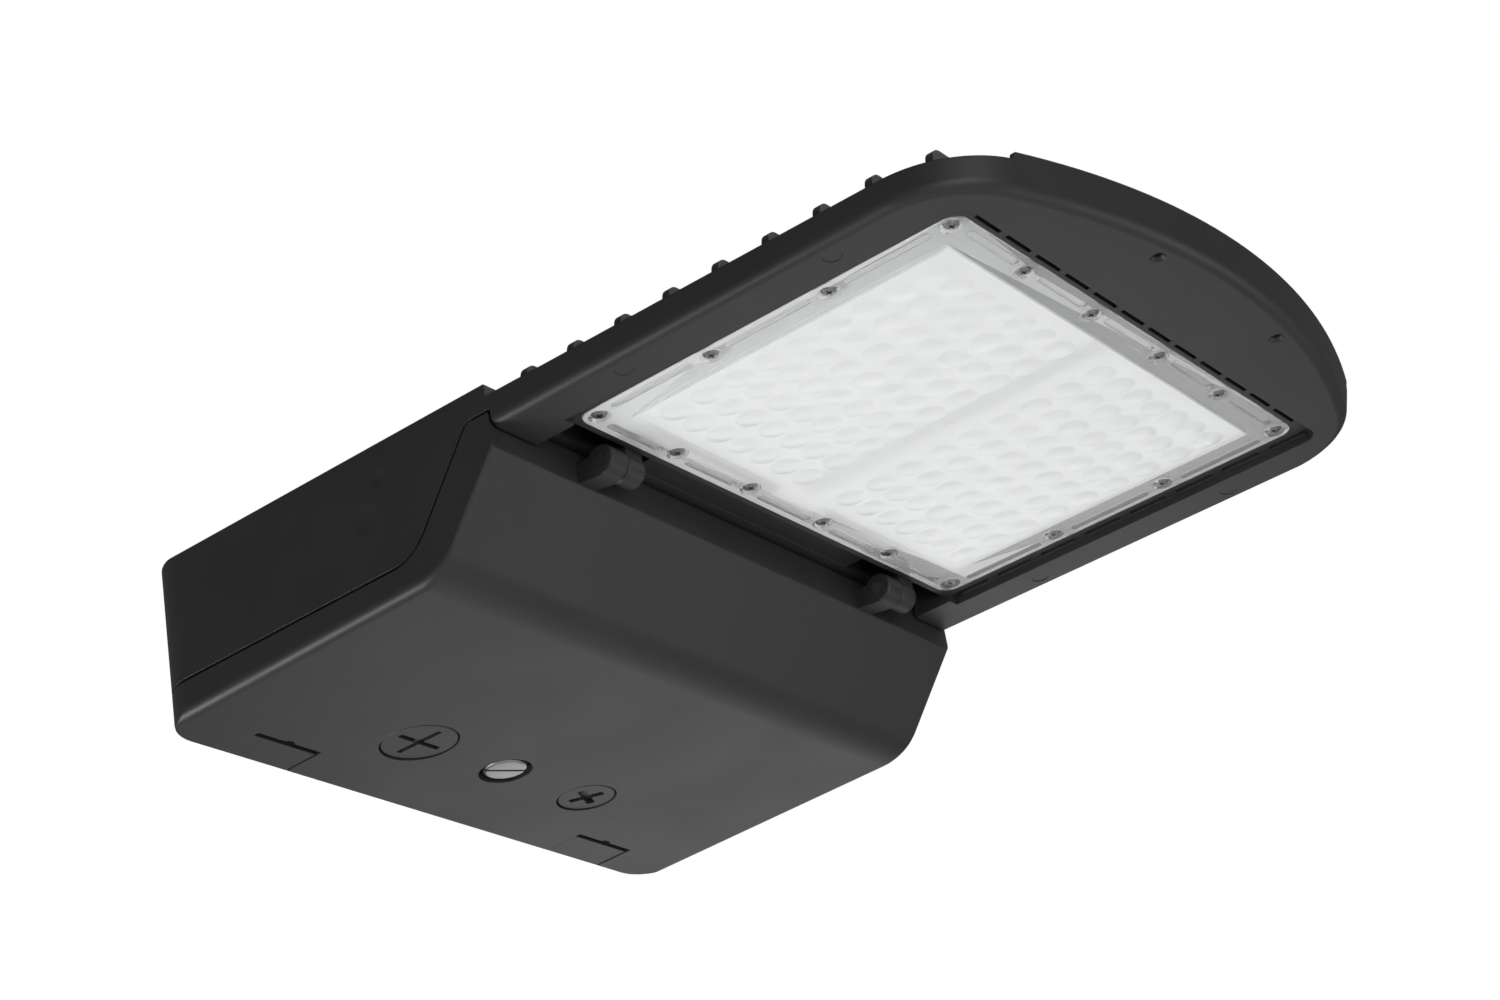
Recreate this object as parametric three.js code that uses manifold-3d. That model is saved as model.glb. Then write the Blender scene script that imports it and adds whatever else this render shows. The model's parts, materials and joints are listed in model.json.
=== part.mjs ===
// Shoebox area light: a finned LED head in one casting with a driver box, closed by a hinged door below.
// Millimetres. The pole face is x = 0, the nose points to +X and the light shines to -Z. The middle is y = 0.
import * as THREE from "three";
import { mergeVertices } from "three/addons/utils/BufferGeometryUtils.js";
import Module from "manifold-3d";

const wasm = await Module();
wasm.setup();

// Overall form
const bodyWidth = 338.6;
const halfWidth = bodyWidth / 2;
const roofZ = 31;
const wall = 3.2;
const seat = 0.3; // gap left where one piece rests on another
const fit = 0.2; // radial clearance of a fixed fastener or plug in its hole
const overrun = 4; // how far a cut runs past the face that it opens

// Driver box, as a side view: floor, slope up to the front wall, roof and rear wall
const boxLength = 203.4;
const slopeRun = 36.3;
const floorRearZ = -47.3;
const floorBendZ = -43.7;
const slopeTopZ = 1.4;
const floorBendRadius = 26;
const lowerEdgeRadius = 8;
const rearCornerRadius = 20;
const roofEdgeRadius = 3;
const slopeTopRadius = 1.6;
const edgeLeastRadius = 0.6;

// Seam between the housing above and the door below
const seamZ = -30.7;
const seamFootSetback = 12.2; // from the floor's bend back to the seam's foot
const seamHeadSetback = 11.7; // from the front wall back to the seam's head
const seamTopZ = 17;
const seamFootRadius = 24;
const seamHeadRadius = 5;
const seamGap = 1.3;

// Rims along the seam, and the gasket in the door's groove
const rimReach = 8.6; // how far in from the outer face the rims reach
const rimDepth = 5;
const grooveOuter = 3.6;
const grooveWidth = 3.8;
const grooveDepth = 2.2;

// Head, in plan
const troughWidth = 22; // from the box's front wall to the optic
const noseReach = 48; // from the recess round the optic to the nose
const noseCornerSetback = 69;
const noseCornerRadius = 46.7;
const rimBottomZ = 10.3;
const rimFillet = 6;
const rimTopRearZ = 23.4;
const rimTopFrontZ = 21.6;
const noseFlare = 5; // how much further out the nose is at its top
const noseTopZ = 25.8;
const noseTopSetback = 29.3; // from the body's side to the nose's raised middle
const headWall = 3.5;
const rimWidth = 22; // from the body's side to the recess round the optic
const footGap = 1.5; // from the door's front wall to the rim's rear end

// Optic: one clear panel of domes
const opticLength = 193.2;
const opticChamfer = 7;
const flangeThickness = 4.9;
const flangeProud = 0.1; // how far the flange's face stands below the land
const flangeEnd = 15.85; // width of the flange before and behind the domed field
const flangeSide = 17.5; // and beside it
const fieldDrop = 1; // how far the domed field stands below the flange
const fieldThickness = 2.4;
const ledPitchX = 16.6;
const ledPitchY = 15.57;
const ledFirstY = 16.75;
const ledEndRoom = 11; // least distance from an LED to the field's end
const ledSideRoom = 9; // and to its side
const domeRadius = 7;
const domeHeight = 2;
const bayReach = 8.25; // how far the wiring bay reaches back from the field
const bayWidth = 33;
const flangeGrooveInset = 3; // from the flange's edge to the grooves between its screws
const flangeGrooveWidth = 4.1;
const flangeGrooveDepth = 1;
const flangeGrooveEndRoom = 8.5; // from a groove's end to the middle of the screw beyond it
const gateRadius = 3.2;
const gateHeight = 0.5;

// Seat of the optic in the head
const landRise = 4; // from the rim's underside up to the slotted land
const landSide = 8.2; // width of the land beside the optic
const landFront = 7.6;
const landThickness = 3.7;
const recessCornerRadius = 8.5;
const opticClearance = 0.4;
const plateThickness = 3.5;
const opticGasketWidth = 2.2;
const opticGasketOut = 2.5; // from the optic's inside to the gasket
const opticGasketDepth = 1.2;

// Slots for air through the land
const sideSlotLength = 19.3;
const sideSlotWidth = 3.3;
const sideSlotInset = 0.4; // from the recess's edge
const frontSlotCount = 12;
const frontSlotBridge = 4.6; // of the land's metal between two slots
const frontSlotWidth = 2.5;
const frontSlotInset = 2.9;
const frontSlotSideRoom = 3; // of the recess beside the row of front slots, besides one bridge

// Fins
const finCount = 9;
const finThickness = 3.5;
const firstFinBehind = 2.65; // the first fin's place forward of the optic's rear edge
const lastFinAhead = 2.4; // the last fin's place forward of the recess's edge
const finEndInset = 0.4;
const finEndRadius = 7;

// Screws of the optic
const opticScrewInsetX = 7.1;
const opticScrewInsetY = 7;
const opticScrewBayRoom = 6.28; // from the gasket round the wiring bay to the screws beside it
const opticScrewRowShare = 0.603; // of the half width between the outer screws
const opticScrewMiddleShare = 0.335; // of the half length between the corner screws
const opticScrewHeadRadius = 3.4;
const opticScrewHeadHeight = 1.6;
const opticScrewHeadDrop = 0.2; // how far the head lies inside the flange's face
const opticScrewRadius = 2;
const opticScrewLength = 7;
const opticPocketRadius = 4.9;
const opticBossWall = 2;

// Trough between the box and the head
const webThickness = 3;
const hoodReach = 22.8; // how far the hoods reach inwards from the hinges' middles
const hoodInset = 6.3; // from the recess's side in to the hoods' outer ends
const hoodWall = 3.2;
const ductRadius = 3.2;
const ductWall = 3.4;
const ductAhead = 14.6; // the duct's drop, forward of the optic's rear edge

// Hinge of the door
const hingeSetback = 66.5; // from the body's side to the hinge's middle
const hingeReach = 12.9;
const hingeRise = 5.7; // of the axis above the slope's top
const earRadius = 7.25;
const knuckleRadius = 6.8;
const knuckleWidth = 11.2;
const hingeGap = 1;
const pinRadius = 3;
const pinRunning = 0.08; // radial clearance of the pin in the ear
const knuckleArmWidth = 11;

// Door screw and the post that takes it
const screwX = 53.6;
const screwHeadRadius = 10.4;
const screwHeadHeight = 4;
const screwSlotWidth = 1.8;
const screwSlotDepth = 1.6;
const screwRadius = 4;
const screwEngaged = 5.5;
const screwPocketRadius = 12.75;
const screwPocketDepth = 4.6;
const screwBossWall = 3.4;
const screwRunning = 0.5;
const postRadius = 9;
const postGap = 9; // from the door screw's boss up to the post
const ringRadius = 7.4;
const ringThickness = 1.4;
const ringTravel = 5.9; // from the boss up to the ring

// Plugs in the door: the large one on one side of the screw, the small one on the other
const plugSpread = 59;
const largePlugRadius = 18;
const smallPlugRadius = 14.2;
const plugShankShare = 0.72; // of the head's radius
const plugHeadThickness = 5;
const plugLength = 15;
const plugSealThickness = 1.4;
const plugBossWall = 3.6;
const plugGroove = 0.45;
const largeCrossLength = 26;
const largeCrossWidth = 3;
const smallCrossLength = 17;
const smallCrossWidth = 4;
const crossDepth = 2.6;
const smallCrossTurn = 24; // degrees

// Recesses in the door's floor at its rear edge
const notchLength = 23;
const notchSetback = 39.1; // from the body's side
const notchWidth = 39.9;
const notchDepth = 2.4;
const notchTab = 5;

// Dimples in the box's sides
const largeDimpleSetback = 72; // from the box's front wall
const largeDimpleZ = -1.1;
const largeDimpleRadius = 7.5;
const smallDimpleSetback = 62.1;
const smallDimpleZ = 14.5;
const smallDimpleRadius = 4.6;
const dimpleDepth = 0.8;

// Rear wall that meets the pole
const poleSpread = 38;
const poleBoltZ = 6;
const poleBoltRadius = 5.5;
const poleBossRadius = 12;
const poleBossHeight = 4;
const wireHoleZ = -14;
const wireHoleRadius = 9.5;

// Accessory holes and ejector marks under the rim
const accessorySpread = 50.2;
const accessorySetback = 17.7;
const accessoryRadius = 2.1;
const accessorySink = 1.4;
const ejectorRadius = 4;
const ejectorDepth = 0.25;
const ejectorShares = [0.23, 0.62]; // of the head's length, from the trough

// LED boards
const boardThickness = 1.6;
const boardMargin = 2.4; // from the field's inside to the boards
const boardInner = 6.3;
const ledSize = 3;
const ledHeight = 0.7;
const tabWidth = 8.8;
const boardScrewHeadRadius = 2.6;
const boardScrewHeadHeight = 1;
const boardScrewRadius = 1.5;
const boardScrewLength = 4;
const plugInLength = 9;
const plugInWidth = 12;
const plugInHeight = 2.6;

// Driver, surge protector and terminal block, hung from the roof
const driverFrontRoom = 29.4; // from the driver to the box's front wall
const driverWidth = 66;
const driverHeight = 36;
const driverStart = 24;
const driverSide = 30;
const driverLugLength = 13;
const driverLugThickness = 2.4;
const driverEdge = 3;
const surgeLength = 55;
const surgeWidth = 38;
const surgeHeight = 26;
const surgeSetback = 85.4; // from the box's front wall to its middle
const surgeGap = 15; // from the terminal block's lug to the surge protector
const terminalLength = 44;
const terminalWidth = 22;
const terminalHeight = 19;
const terminalSetback = 107.4;
const terminalY = -38;
const lugLength = 9;
const lugThickness = 2.4;
const padHeight = 3;
const padRadius = 5.5;
const caseScrewRadius = 2;
const caseScrewHeadRadius = 3.6;
const caseScrewHeadHeight = 2.2;
const caseScrewLength = 7;
const groundX = 24;
const groundY = -70;
const entryRadius = 2.6;
const entryDepth = 6;

// Leads
const leadRadius = 0.9;
const leadSpread = 1.4;
const leadSides = 4;
const leadSteps = 2; // between two points of a lead's route
const sealLength = 6;

// Facets
const fine = 16;
const medium = 10;
const coarse = 6;

// Values worked out from the sizes above
const bendX = boxLength - slopeRun;
const recessHalfWidth = halfWidth - rimWidth;
const opticWidth = 2 * (recessHalfWidth - landSide);
const fieldLength = opticLength - 2 * flangeEnd;
const fieldWidth = opticWidth - 2 * flangeSide;
const ledColumns = Math.floor((fieldLength - 2 * ledEndRoom) / ledPitchX) + 1;
const ledRows = Math.floor((fieldWidth / 2 - ledFirstY - ledSideRoom) / ledPitchY) + 1; // in each half
const opticRearX = boxLength + troughWidth;
const opticX = opticRearX + opticLength / 2;
const opticFrontX = opticRearX + opticLength;
const recessFrontX = opticFrontX + landFront;
const frontSlotPitch = (2 * (recessHalfWidth - frontSlotSideRoom)) / (frontSlotCount + 1);
const frontSlotLength = frontSlotPitch - frontSlotBridge;
const noseX = recessFrontX + noseReach;
const noseCornerX = noseX - noseCornerSetback;
const noseCornerY = halfWidth - noseCornerRadius;
const footX = boxLength + footGap;
const landZ = rimBottomZ + landRise;
const flangeBottomZ = landZ - flangeProud;
const flangeTopZ = flangeBottomZ + flangeThickness;
const plateZ = flangeTopZ + opticClearance;
const plateTopZ = plateZ + plateThickness;
const troughFrontX = opticRearX - wall;
const ceilingZ = seamTopZ + seamGap;
const webTopZ = ceilingZ + webThickness;
const ductZ = roofZ - wall - seat - ductRadius;
const ductX = opticRearX + ductAhead;
const hingeSpread = halfWidth - hingeSetback;
const hoodInner = hingeSpread - hoodReach;
const hoodOuter = recessHalfWidth - hoodInset;
const noseTopHalfWidth = halfWidth - noseTopSetback;
const notchOuter = halfWidth - notchSetback;
const notchInner = notchOuter - notchWidth;
const hingeX = boxLength + hingeReach;
const hingeZ = slopeTopZ + hingeRise;
const insideRoofZ = roofZ - wall;
const padZ = insideRoofZ - padHeight;
const firstFinX = opticRearX + firstFinBehind;
const finPitch = (recessFrontX + lastFinAhead - firstFinX) / (finCount - 1);
const boardBottomZ = plateZ - seat - boardThickness;
const driverLength = boxLength - driverFrontRoom - driverStart;
const terminalX = boxLength - terminalSetback;
const surgeX = boxLength - surgeSetback;
const surgeY = terminalY - terminalWidth / 2 - lugLength - surgeGap - surgeWidth / 2;
const flangeSeatZ = flangeBottomZ + opticScrewHeadDrop + opticScrewHeadHeight + seat;

// Materials
function finish(color, roughness, metalness) {
  return new THREE.MeshStandardMaterial({ color, roughness, metalness });
}

const castMaterial = finish(0x2b2b2c, 0.55, 0.3);
const pinMaterial = finish(0xb4b6b8, 0.35, 0.9);
const screwMaterial = finish(0xc6c8ca, 0.3, 0.95);
const rubberMaterial = finish(0x151516, 0.85, 0);
const opticMaterial = new THREE.MeshStandardMaterial({
  color: 0xe9ecee,
  roughness: 0.15,
  metalness: 0,
  transparent: true,
  opacity: 0.5,
});
const boardMaterial = finish(0xf0f0ee, 0.5, 0);
const plugInMaterial = finish(0xdedcd4, 0.5, 0);
const driverMaterial = finish(0xc9cbcc, 0.45, 0.4);
const surgeMaterial = finish(0x26282b, 0.6, 0);
const terminalMaterial = finish(0x3a3c40, 0.55, 0);
const groundMaterial = finish(0x2f7a43, 0.4, 0.5);
const redMaterial = finish(0x9a2a22, 0.6, 0);
const blackMaterial = finish(0x1c1c1d, 0.6, 0);
const whiteMaterial = finish(0xe4e4e0, 0.6, 0);

// Solids from three.js geometry, and back again

function closed(positions, faces) {
  const build = (triVerts) =>
    new wasm.Manifold(new wasm.Mesh({ numProp: 3, vertProperties: positions, triVerts }));
  const made = build(new Uint32Array(faces));
  if (made.volume() >= 0) return made;
  return build(new Uint32Array(faces).reverse());
}

function solid(geometry) {
  const bare = geometry.clone();
  bare.deleteAttribute("normal");
  bare.deleteAttribute("uv");
  const merged = mergeVertices(bare);
  const index = merged.index.array;
  const faces = [];
  for (let i = 0; i < index.length; i += 3) {
    const [a, b, c] = index.slice(i, i + 3);
    if (a !== b && b !== c && c !== a) faces.push(a, b, c);
  }
  return closed(merged.attributes.position.array, faces);
}

function join(first, ...others) {
  return others.reduce((sum, other) => sum.add(other), first);
}

function cut(body, ...tools) {
  return tools.reduce((rest, tool) => rest.subtract(tool), body);
}

// How a flat shape's two directions and its thickness lie in the part's frame
const extrudeBases = {
  x: new THREE.Matrix4().makeBasis(
    new THREE.Vector3(0, 1, 0),
    new THREE.Vector3(0, 0, 1),
    new THREE.Vector3(1, 0, 0),
  ),
  y: new THREE.Matrix4().makeBasis(
    new THREE.Vector3(1, 0, 0),
    new THREE.Vector3(0, 0, 1),
    new THREE.Vector3(0, -1, 0),
  ),
  z: new THREE.Matrix4(),
};

// A prism of points in the plane square to the axis, from one place along the axis to the other.
function prism(points, axis, from, to, holes = []) {
  const shape = new THREE.Shape(points.map(([a, b]) => new THREE.Vector2(a, b)));
  shape.holes = holes.map((hole) => new THREE.Path(hole.map(([a, b]) => new THREE.Vector2(a, b))));
  const geometry = new THREE.ExtrudeGeometry(shape, { depth: to - from, bevelEnabled: false });
  geometry.translate(0, 0, axis === "y" ? -to : from);
  geometry.applyMatrix4(extrudeBases[axis]);
  return solid(geometry);
}

function block([x0, y0, z0], [x1, y1, z1]) {
  const geometry = new THREE.BoxGeometry(x1 - x0, y1 - y0, z1 - z0);
  geometry.translate((x0 + x1) / 2, (y0 + y1) / 2, (z0 + z1) / 2);
  return solid(geometry);
}

// The same block on either side of the middle.
function sideBlock(side, [x0, near, z0], [x1, far, z1]) {
  return side > 0 ? block([x0, near, z0], [x1, far, z1]) : block([x0, -far, z0], [x1, -near, z1]);
}

// A turned piece: its profile is a list of [radius, place along the axis], and at is a point on the axis.
function turned(profile, axis, at, sides) {
  const geometry = new THREE.LatheGeometry(
    profile.map(([radius, along]) => new THREE.Vector2(radius, along)),
    sides,
  );
  if (axis === "x") geometry.rotateZ(-Math.PI / 2);
  if (axis === "z") geometry.rotateX(Math.PI / 2);
  geometry.translate(...at);
  return solid(geometry);
}

function rod(radius, axis, from, to, at, sides = medium) {
  return turned([[0, from], [radius, from], [radius, to], [0, to]], axis, at, sides);
}

// A hole for a fastener, with few sides, whose flats keep the radius.
function bore(radius, axis, from, to, at) {
  return rod(radius / Math.cos(Math.PI / coarse), axis, from, to, at, coarse);
}

function ring(inner, outer, axis, from, to, at, sides = medium) {
  return turned([[inner, from], [outer, from], [outer, to], [inner, to], [inner, from]], axis, at, sides);
}

// A closed body through rings of equally many points, flat across its two ends.
function loft(rings, flatten) {
  const count = rings[0].length;
  const faces = [];
  for (let r = 0; r + 1 < rings.length; r += 1) {
    for (let i = 0; i < count; i += 1) {
      const a = r * count + i;
      const b = r * count + ((i + 1) % count);
      faces.push(a, b, b + count, a, b + count, a + count);
    }
  }
  const capOf = (points) => THREE.ShapeUtils.triangulateShape(points.map(flatten), []);
  const top = (rings.length - 1) * count;
  capOf(rings[0]).forEach(([a, b, c]) => faces.push(c, b, a));
  capOf(rings.at(-1)).forEach(([a, b, c]) => faces.push(top + a, top + b, top + c));
  return closed(new Float32Array(rings.flat(2)), faces);
}

// Outlines

// Where two lines meet, each given by a point and a direction.
function crossing([ax, ay], [ux, uy], [bx, by], [vx, vy]) {
  const t = ((bx - ax) * vy - (by - ay) * vx) / (ux * vy - uy * vx);
  return [ax + ux * t, ay + uy * t];
}

// The corners of a closed outline after each side has moved in by its own distance.
function insetCorners(corners, distances) {
  const sides = corners.map(([x, y], i) => {
    const [nextX, nextY] = corners[(i + 1) % corners.length];
    const length = Math.hypot(nextX - x, nextY - y);
    const along = [(nextX - x) / length, (nextY - y) / length];
    return { point: [x - along[1] * distances[i], y + along[0] * distances[i]], along };
  });
  return sides.map((side, i) => {
    const before = sides.at(i - 1);
    return crossing(before.point, before.along, side.point, side.along);
  });
}

// The points of a corner rounded to a radius, as steps along its arc.
function cornerArc(before, corner, after, radius, steps) {
  const toBefore = new THREE.Vector2(...before).sub(new THREE.Vector2(...corner)).normalize();
  const toAfter = new THREE.Vector2(...after).sub(new THREE.Vector2(...corner)).normalize();
  const half = Math.acos(THREE.MathUtils.clamp(toBefore.dot(toAfter), -1, 1)) / 2;
  const middle = toBefore.clone().add(toAfter).normalize();
  const centre = middle.clone().multiplyScalar(radius / Math.sin(half)).add(new THREE.Vector2(...corner));
  const reach = radius / Math.tan(half);
  const start = toBefore.clone().multiplyScalar(reach).add(new THREE.Vector2(...corner)).sub(centre);
  const turn = Math.sign(toAfter.cross(toBefore)) * (Math.PI - 2 * half);
  return Array.from({ length: steps + 1 }, (_, i) => {
    const spoke = start.clone().rotateAround(new THREE.Vector2(), (turn * i) / steps);
    return [centre.x + spoke.x, centre.y + spoke.y];
  });
}

function roundedOutline(corners, radii, steps) {
  return corners.flatMap((corner, i) => {
    if (steps[i] === 0) return [corner];
    const next = corners[(i + 1) % corners.length];
    return cornerArc(corners.at(i - 1), corner, next, radii[i], steps[i]);
  });
}

function rectangle(x0, x1, y0, y1) {
  return [[x0, y0], [x1, y0], [x1, y1], [x0, y1]];
}

function roundedRectangle(x0, x1, y0, y1, radius, steps) {
  return roundedOutline(rectangle(x0, x1, y0, y1), Array(4).fill(radius), Array(4).fill(steps));
}

// Body of the driver box, moved in by a distance

// How far a rounded edge has drawn in at a distance s from the face where the rounding ends.
function drawnIn(radius, s) {
  return s >= radius ? 0 : radius - Math.sqrt(radius ** 2 - (radius - s) ** 2);
}

function boxBody(inset, steps) {
  const shrink = (radius) => Math.max(radius - inset, edgeLeastRadius);
  const lower = shrink(lowerEdgeRadius);
  const rear = shrink(rearCornerRadius);
  const roof = shrink(roofEdgeRadius);
  const corners = insetCorners(
    [[0, floorRearZ], [bendX, floorBendZ], [boxLength, slopeTopZ], [boxLength, roofZ], [0, roofZ]],
    Array(5).fill(inset),
  );
  const arcPlaces = (radius) =>
    Array.from({ length: steps + 1 }, (_, i) => radius * (1 - Math.cos((Math.PI / 2) * (i / steps))));
  const places = [...arcPlaces(lower), ...arcPlaces(rear).filter((s) => s > lower + roof / 2)];
  const ringAt = (y, s) => {
    const low = drawnIn(lower, s);
    const drawn = insetCorners(corners, [low, low, 0, drawnIn(roof, s), drawnIn(rear, s)]);
    const floorEnd = lower - low + edgeLeastRadius;
    const radii = [floorEnd, floorBendRadius - inset - low, slopeTopRadius, roof, roof];
    const outline = roundedOutline(drawn, radii, [steps, steps, 1, 1, 2]);
    return outline.map(([x, z]) => [x, y, z]);
  };
  const half = halfWidth - inset;
  const rings = [
    ...places.map((s) => ringAt(-half + s, s)),
    ...places.map((s) => ringAt(half - s, s)).reverse(),
  ];
  return loft(rings, ([x, , z]) => new THREE.Vector2(x, z));
}

// The seam as a side view, moved up from the door's edge by a distance.
function seamLine(rise) {
  const foot = bendX - seamFootSetback;
  const head = boxLength - seamHeadSetback;
  const climb = new THREE.Vector2(head - foot, seamTopZ - seamZ).normalize();
  const slopePoint = [foot - climb.y * rise, seamZ + climb.x * rise];
  const low = crossing([0, seamZ + rise], [1, 0], slopePoint, climb.toArray());
  const high = crossing([0, seamTopZ + rise], [1, 0], slopePoint, climb.toArray());
  const start = [-2 * overrun, seamZ + rise];
  const end = [boxLength + 2 * overrun, seamTopZ + rise];
  return [
    start,
    ...cornerArc(start, low, high, seamFootRadius - rise, 4),
    ...cornerArc(low, high, end, Math.max(seamHeadRadius + rise, edgeLeastRadius), 3),
    end,
  ];
}

// Everything between two heights above the seam.
function seamBand(from, to) {
  return prism([...seamLine(from), ...seamLine(to).reverse()], "y", -bodyWidth, bodyWidth);
}

// Everything above the seam, or below it.
function seamSide(rise, farZ) {
  const line = seamLine(rise);
  return prism([...line, [line.at(-1)[0], farZ], [line[0][0], farZ]], "y", -bodyWidth, bodyWidth);
}

function boxShell(inset, outset) {
  return boxBody(outset, outset > 0 ? 2 : 3).subtract(boxBody(inset, 2));
}

// Head in plan: the front arc is tangent to the two nose corners

function noseRadius() {
  const across = noseCornerY;
  const ahead = noseCornerX - noseX;
  return (ahead ** 2 + across ** 2 - noseCornerRadius ** 2) / (2 * (-ahead - noseCornerRadius));
}

// Points with their outward directions, from one side round the nose to the other.
function headEdge(rearX) {
  const big = noseRadius();
  const centreX = noseX - big;
  const lean = Math.atan2(noseCornerY, noseCornerX - centreX);
  const edge = [{ x: rearX, y: -halfWidth, out: -Math.PI / 2 }];
  const cornerSteps = 5;
  const frontSteps = 8;
  for (let i = 0; i <= cornerSteps; i += 1) {
    const out = -Math.PI / 2 + (Math.PI / 2 - lean) * (i / cornerSteps);
    edge.push({
      x: noseCornerX + noseCornerRadius * Math.cos(out),
      y: -noseCornerY + noseCornerRadius * Math.sin(out),
      out,
    });
  }
  for (let i = 1; i < frontSteps; i += 1) {
    const out = -lean + 2 * lean * (i / frontSteps);
    edge.push({ x: centreX + big * Math.cos(out), y: big * Math.sin(out), out });
  }
  const mirrored = edge.slice(0, cornerSteps + 2).reverse();
  return [...edge, ...mirrored.map(({ x, y, out }) => ({ x, y: -y, out: -out }))];
}

// The head's outline, moved in by a distance and by a further one at the nose.
function headOutline(rearX, inset, noseInset) {
  return headEdge(rearX).map(({ x, y, out }) => {
    const move = inset + noseInset * Math.max(Math.cos(out), 0);
    const sideways = x === rearX ? 0 : move * Math.cos(out);
    return [x - sideways, y - move * Math.sin(out)];
  });
}

function headBody(rearX) {
  const flareAt = (z) => noseFlare * Math.max((noseTopZ - z) / (noseTopZ - rimBottomZ), 0);
  const fillet = [0, 1 / 2, 1].map((share) => (Math.PI / 2) * share);
  const levels = [
    ...fillet.map((turn) => ({
      z: rimBottomZ + rimFillet * (1 - Math.cos(turn)),
      inset: rimFillet * (1 - Math.sin(turn)),
    })),
    { z: noseTopZ, inset: 0 },
  ];
  const rings = levels.map(({ z, inset }) =>
    headOutline(rearX, inset, flareAt(z)).map(([x, y]) => [x, y, z]),
  );
  return loft(rings, ([x, y]) => new THREE.Vector2(x, y));
}

// Patterns

function opticScrewPlaces() {
  const across = opticWidth / 2 - opticScrewInsetY;
  const along = opticLength / 2 - opticScrewInsetX;
  const first = bayWidth / 2 + opticGasketOut + opticGasketWidth + opticScrewBayRoom;
  const places = [];
  for (const sideX of [-1, 1]) {
    for (const sideY of [-1, 1]) {
      [first, opticScrewRowShare * across, across].forEach((y) =>
        places.push([opticX + sideX * along, sideY * y]),
      );
      places.push([opticX + sideX * opticScrewMiddleShare * along, sideY * across]);
    }
  }
  return places.sort(([ax, ay], [bx, by]) => ay - by || ax - bx);
}

function ledPlaces(side) {
  const places = [];
  for (let column = 0; column < ledColumns; column += 1) {
    for (let row = 0; row < ledRows; row += 1) {
      const x = opticX + (column - (ledColumns - 1) / 2) * ledPitchX;
      places.push([x, side * (ledFirstY + row * ledPitchY)]);
    }
  }
  return places;
}

// The board's screws stand between its two outer columns and beside its middle row.
function boardScrewPlaces(side) {
  const column = ledColumns / 2 - 1;
  const row = Math.floor(ledRows / 2) + 1 / 2;
  const y = side * (ledFirstY + row * ledPitchY);
  return [-1, 1].map((end) => [opticX + end * column * ledPitchX, y]);
}

// The optic's inside in plan: the field with a wiring bay at its rear middle, grown by a distance.
function fieldOutline(grow) {
  const rear = opticX - fieldLength / 2 - grow;
  const front = opticX + fieldLength / 2 + grow;
  const side = fieldWidth / 2 + grow;
  const bay = bayWidth / 2 + grow;
  return [
    [rear, -side],
    [front, -side],
    [front, side],
    [rear, side],
    [rear, bay],
    [rear - bayReach, bay],
    [rear - bayReach, -bay],
    [rear, -bay],
  ];
}

function opticOutline(grow) {
  const corners = rectangle(
    opticRearX - grow,
    opticFrontX + grow,
    -opticWidth / 2 - grow,
    opticWidth / 2 + grow,
  );
  return roundedOutline(corners, Array(4).fill(opticChamfer), Array(4).fill(2));
}

// Housing

function housingBox() {
  const above = seamSide(seamGap, roofZ + overrun);
  const shell = boxShell(wall, 0).intersect(above);
  const rim = boxShell(rimReach, wall / 2).intersect(seamBand(seamGap, seamGap + rimDepth));
  return join(shell, rim);
}

function headShell() {
  const rearX = boxLength - wall;
  const sideCut = (side) => {
    const far = noseX + overrun;
    const edge = side * noseTopHalfWidth;
    const near = rearX - overrun;
    const profile = [[near, rimTopRearZ], [far, rimTopFrontZ], [far, roofZ], [near, roofZ]];
    return prism(profile, "y", Math.min(edge, side * bodyWidth), Math.max(edge, side * bodyWidth));
  };
  const doorRoom = block([-overrun, -bodyWidth, rimBottomZ - overrun], [footX, bodyWidth, ceilingZ]);
  const hollowOutline = headOutline(footX + headWall, headWall, noseFlare / 2);
  const hollow = prism(hollowOutline, "z", rimBottomZ + headWall, roofZ);
  const recess = prism(recessOutline(0), "z", rimBottomZ - overrun, landZ + landThickness);
  return cut(headBody(rearX), sideCut(-1), sideCut(1), doorRoom, hollow, recess);
}

// The recess round the optic in plan, grown by a distance; its rear end is open to the trough.
function recessOutline(grow) {
  const half = recessHalfWidth + grow;
  const corners = rectangle(boxLength - wall, recessFrontX + grow, -half, half);
  return roundedOutline(corners, [0, recessCornerRadius, recessCornerRadius, 0], [0, 3, 3, 0]);
}

function recessWall() {
  const outer = prism(recessOutline(headWall), "z", rimBottomZ, landZ + landThickness);
  const inner = prism(recessOutline(0), "z", rimBottomZ - overrun, roofZ);
  const doorRoom = block([-overrun, -bodyWidth, rimBottomZ - overrun], [footX, bodyWidth, roofZ]);
  return cut(outer, inner, doorRoom);
}

// The land with its slots, and the thicker plate that carries the boards and the optic.
function enginePlate() {
  const half = recessHalfWidth + headWall / 2;
  const land = prism(
    rectangle(troughFrontX, recessFrontX + headWall / 2, -half, half),
    "z",
    landZ,
    landZ + landThickness,
  );
  const plate = prism(opticOutline(opticClearance + headWall / 2), "z", landZ, plateTopZ);
  const rear = block([troughFrontX, -half, landZ], [opticRearX + wall, half, plateTopZ]);
  return join(land, plate, rear);
}

function finPlaces() {
  return Array.from({ length: finCount }, (_, i) => firstFinX + i * finPitch);
}

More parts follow.
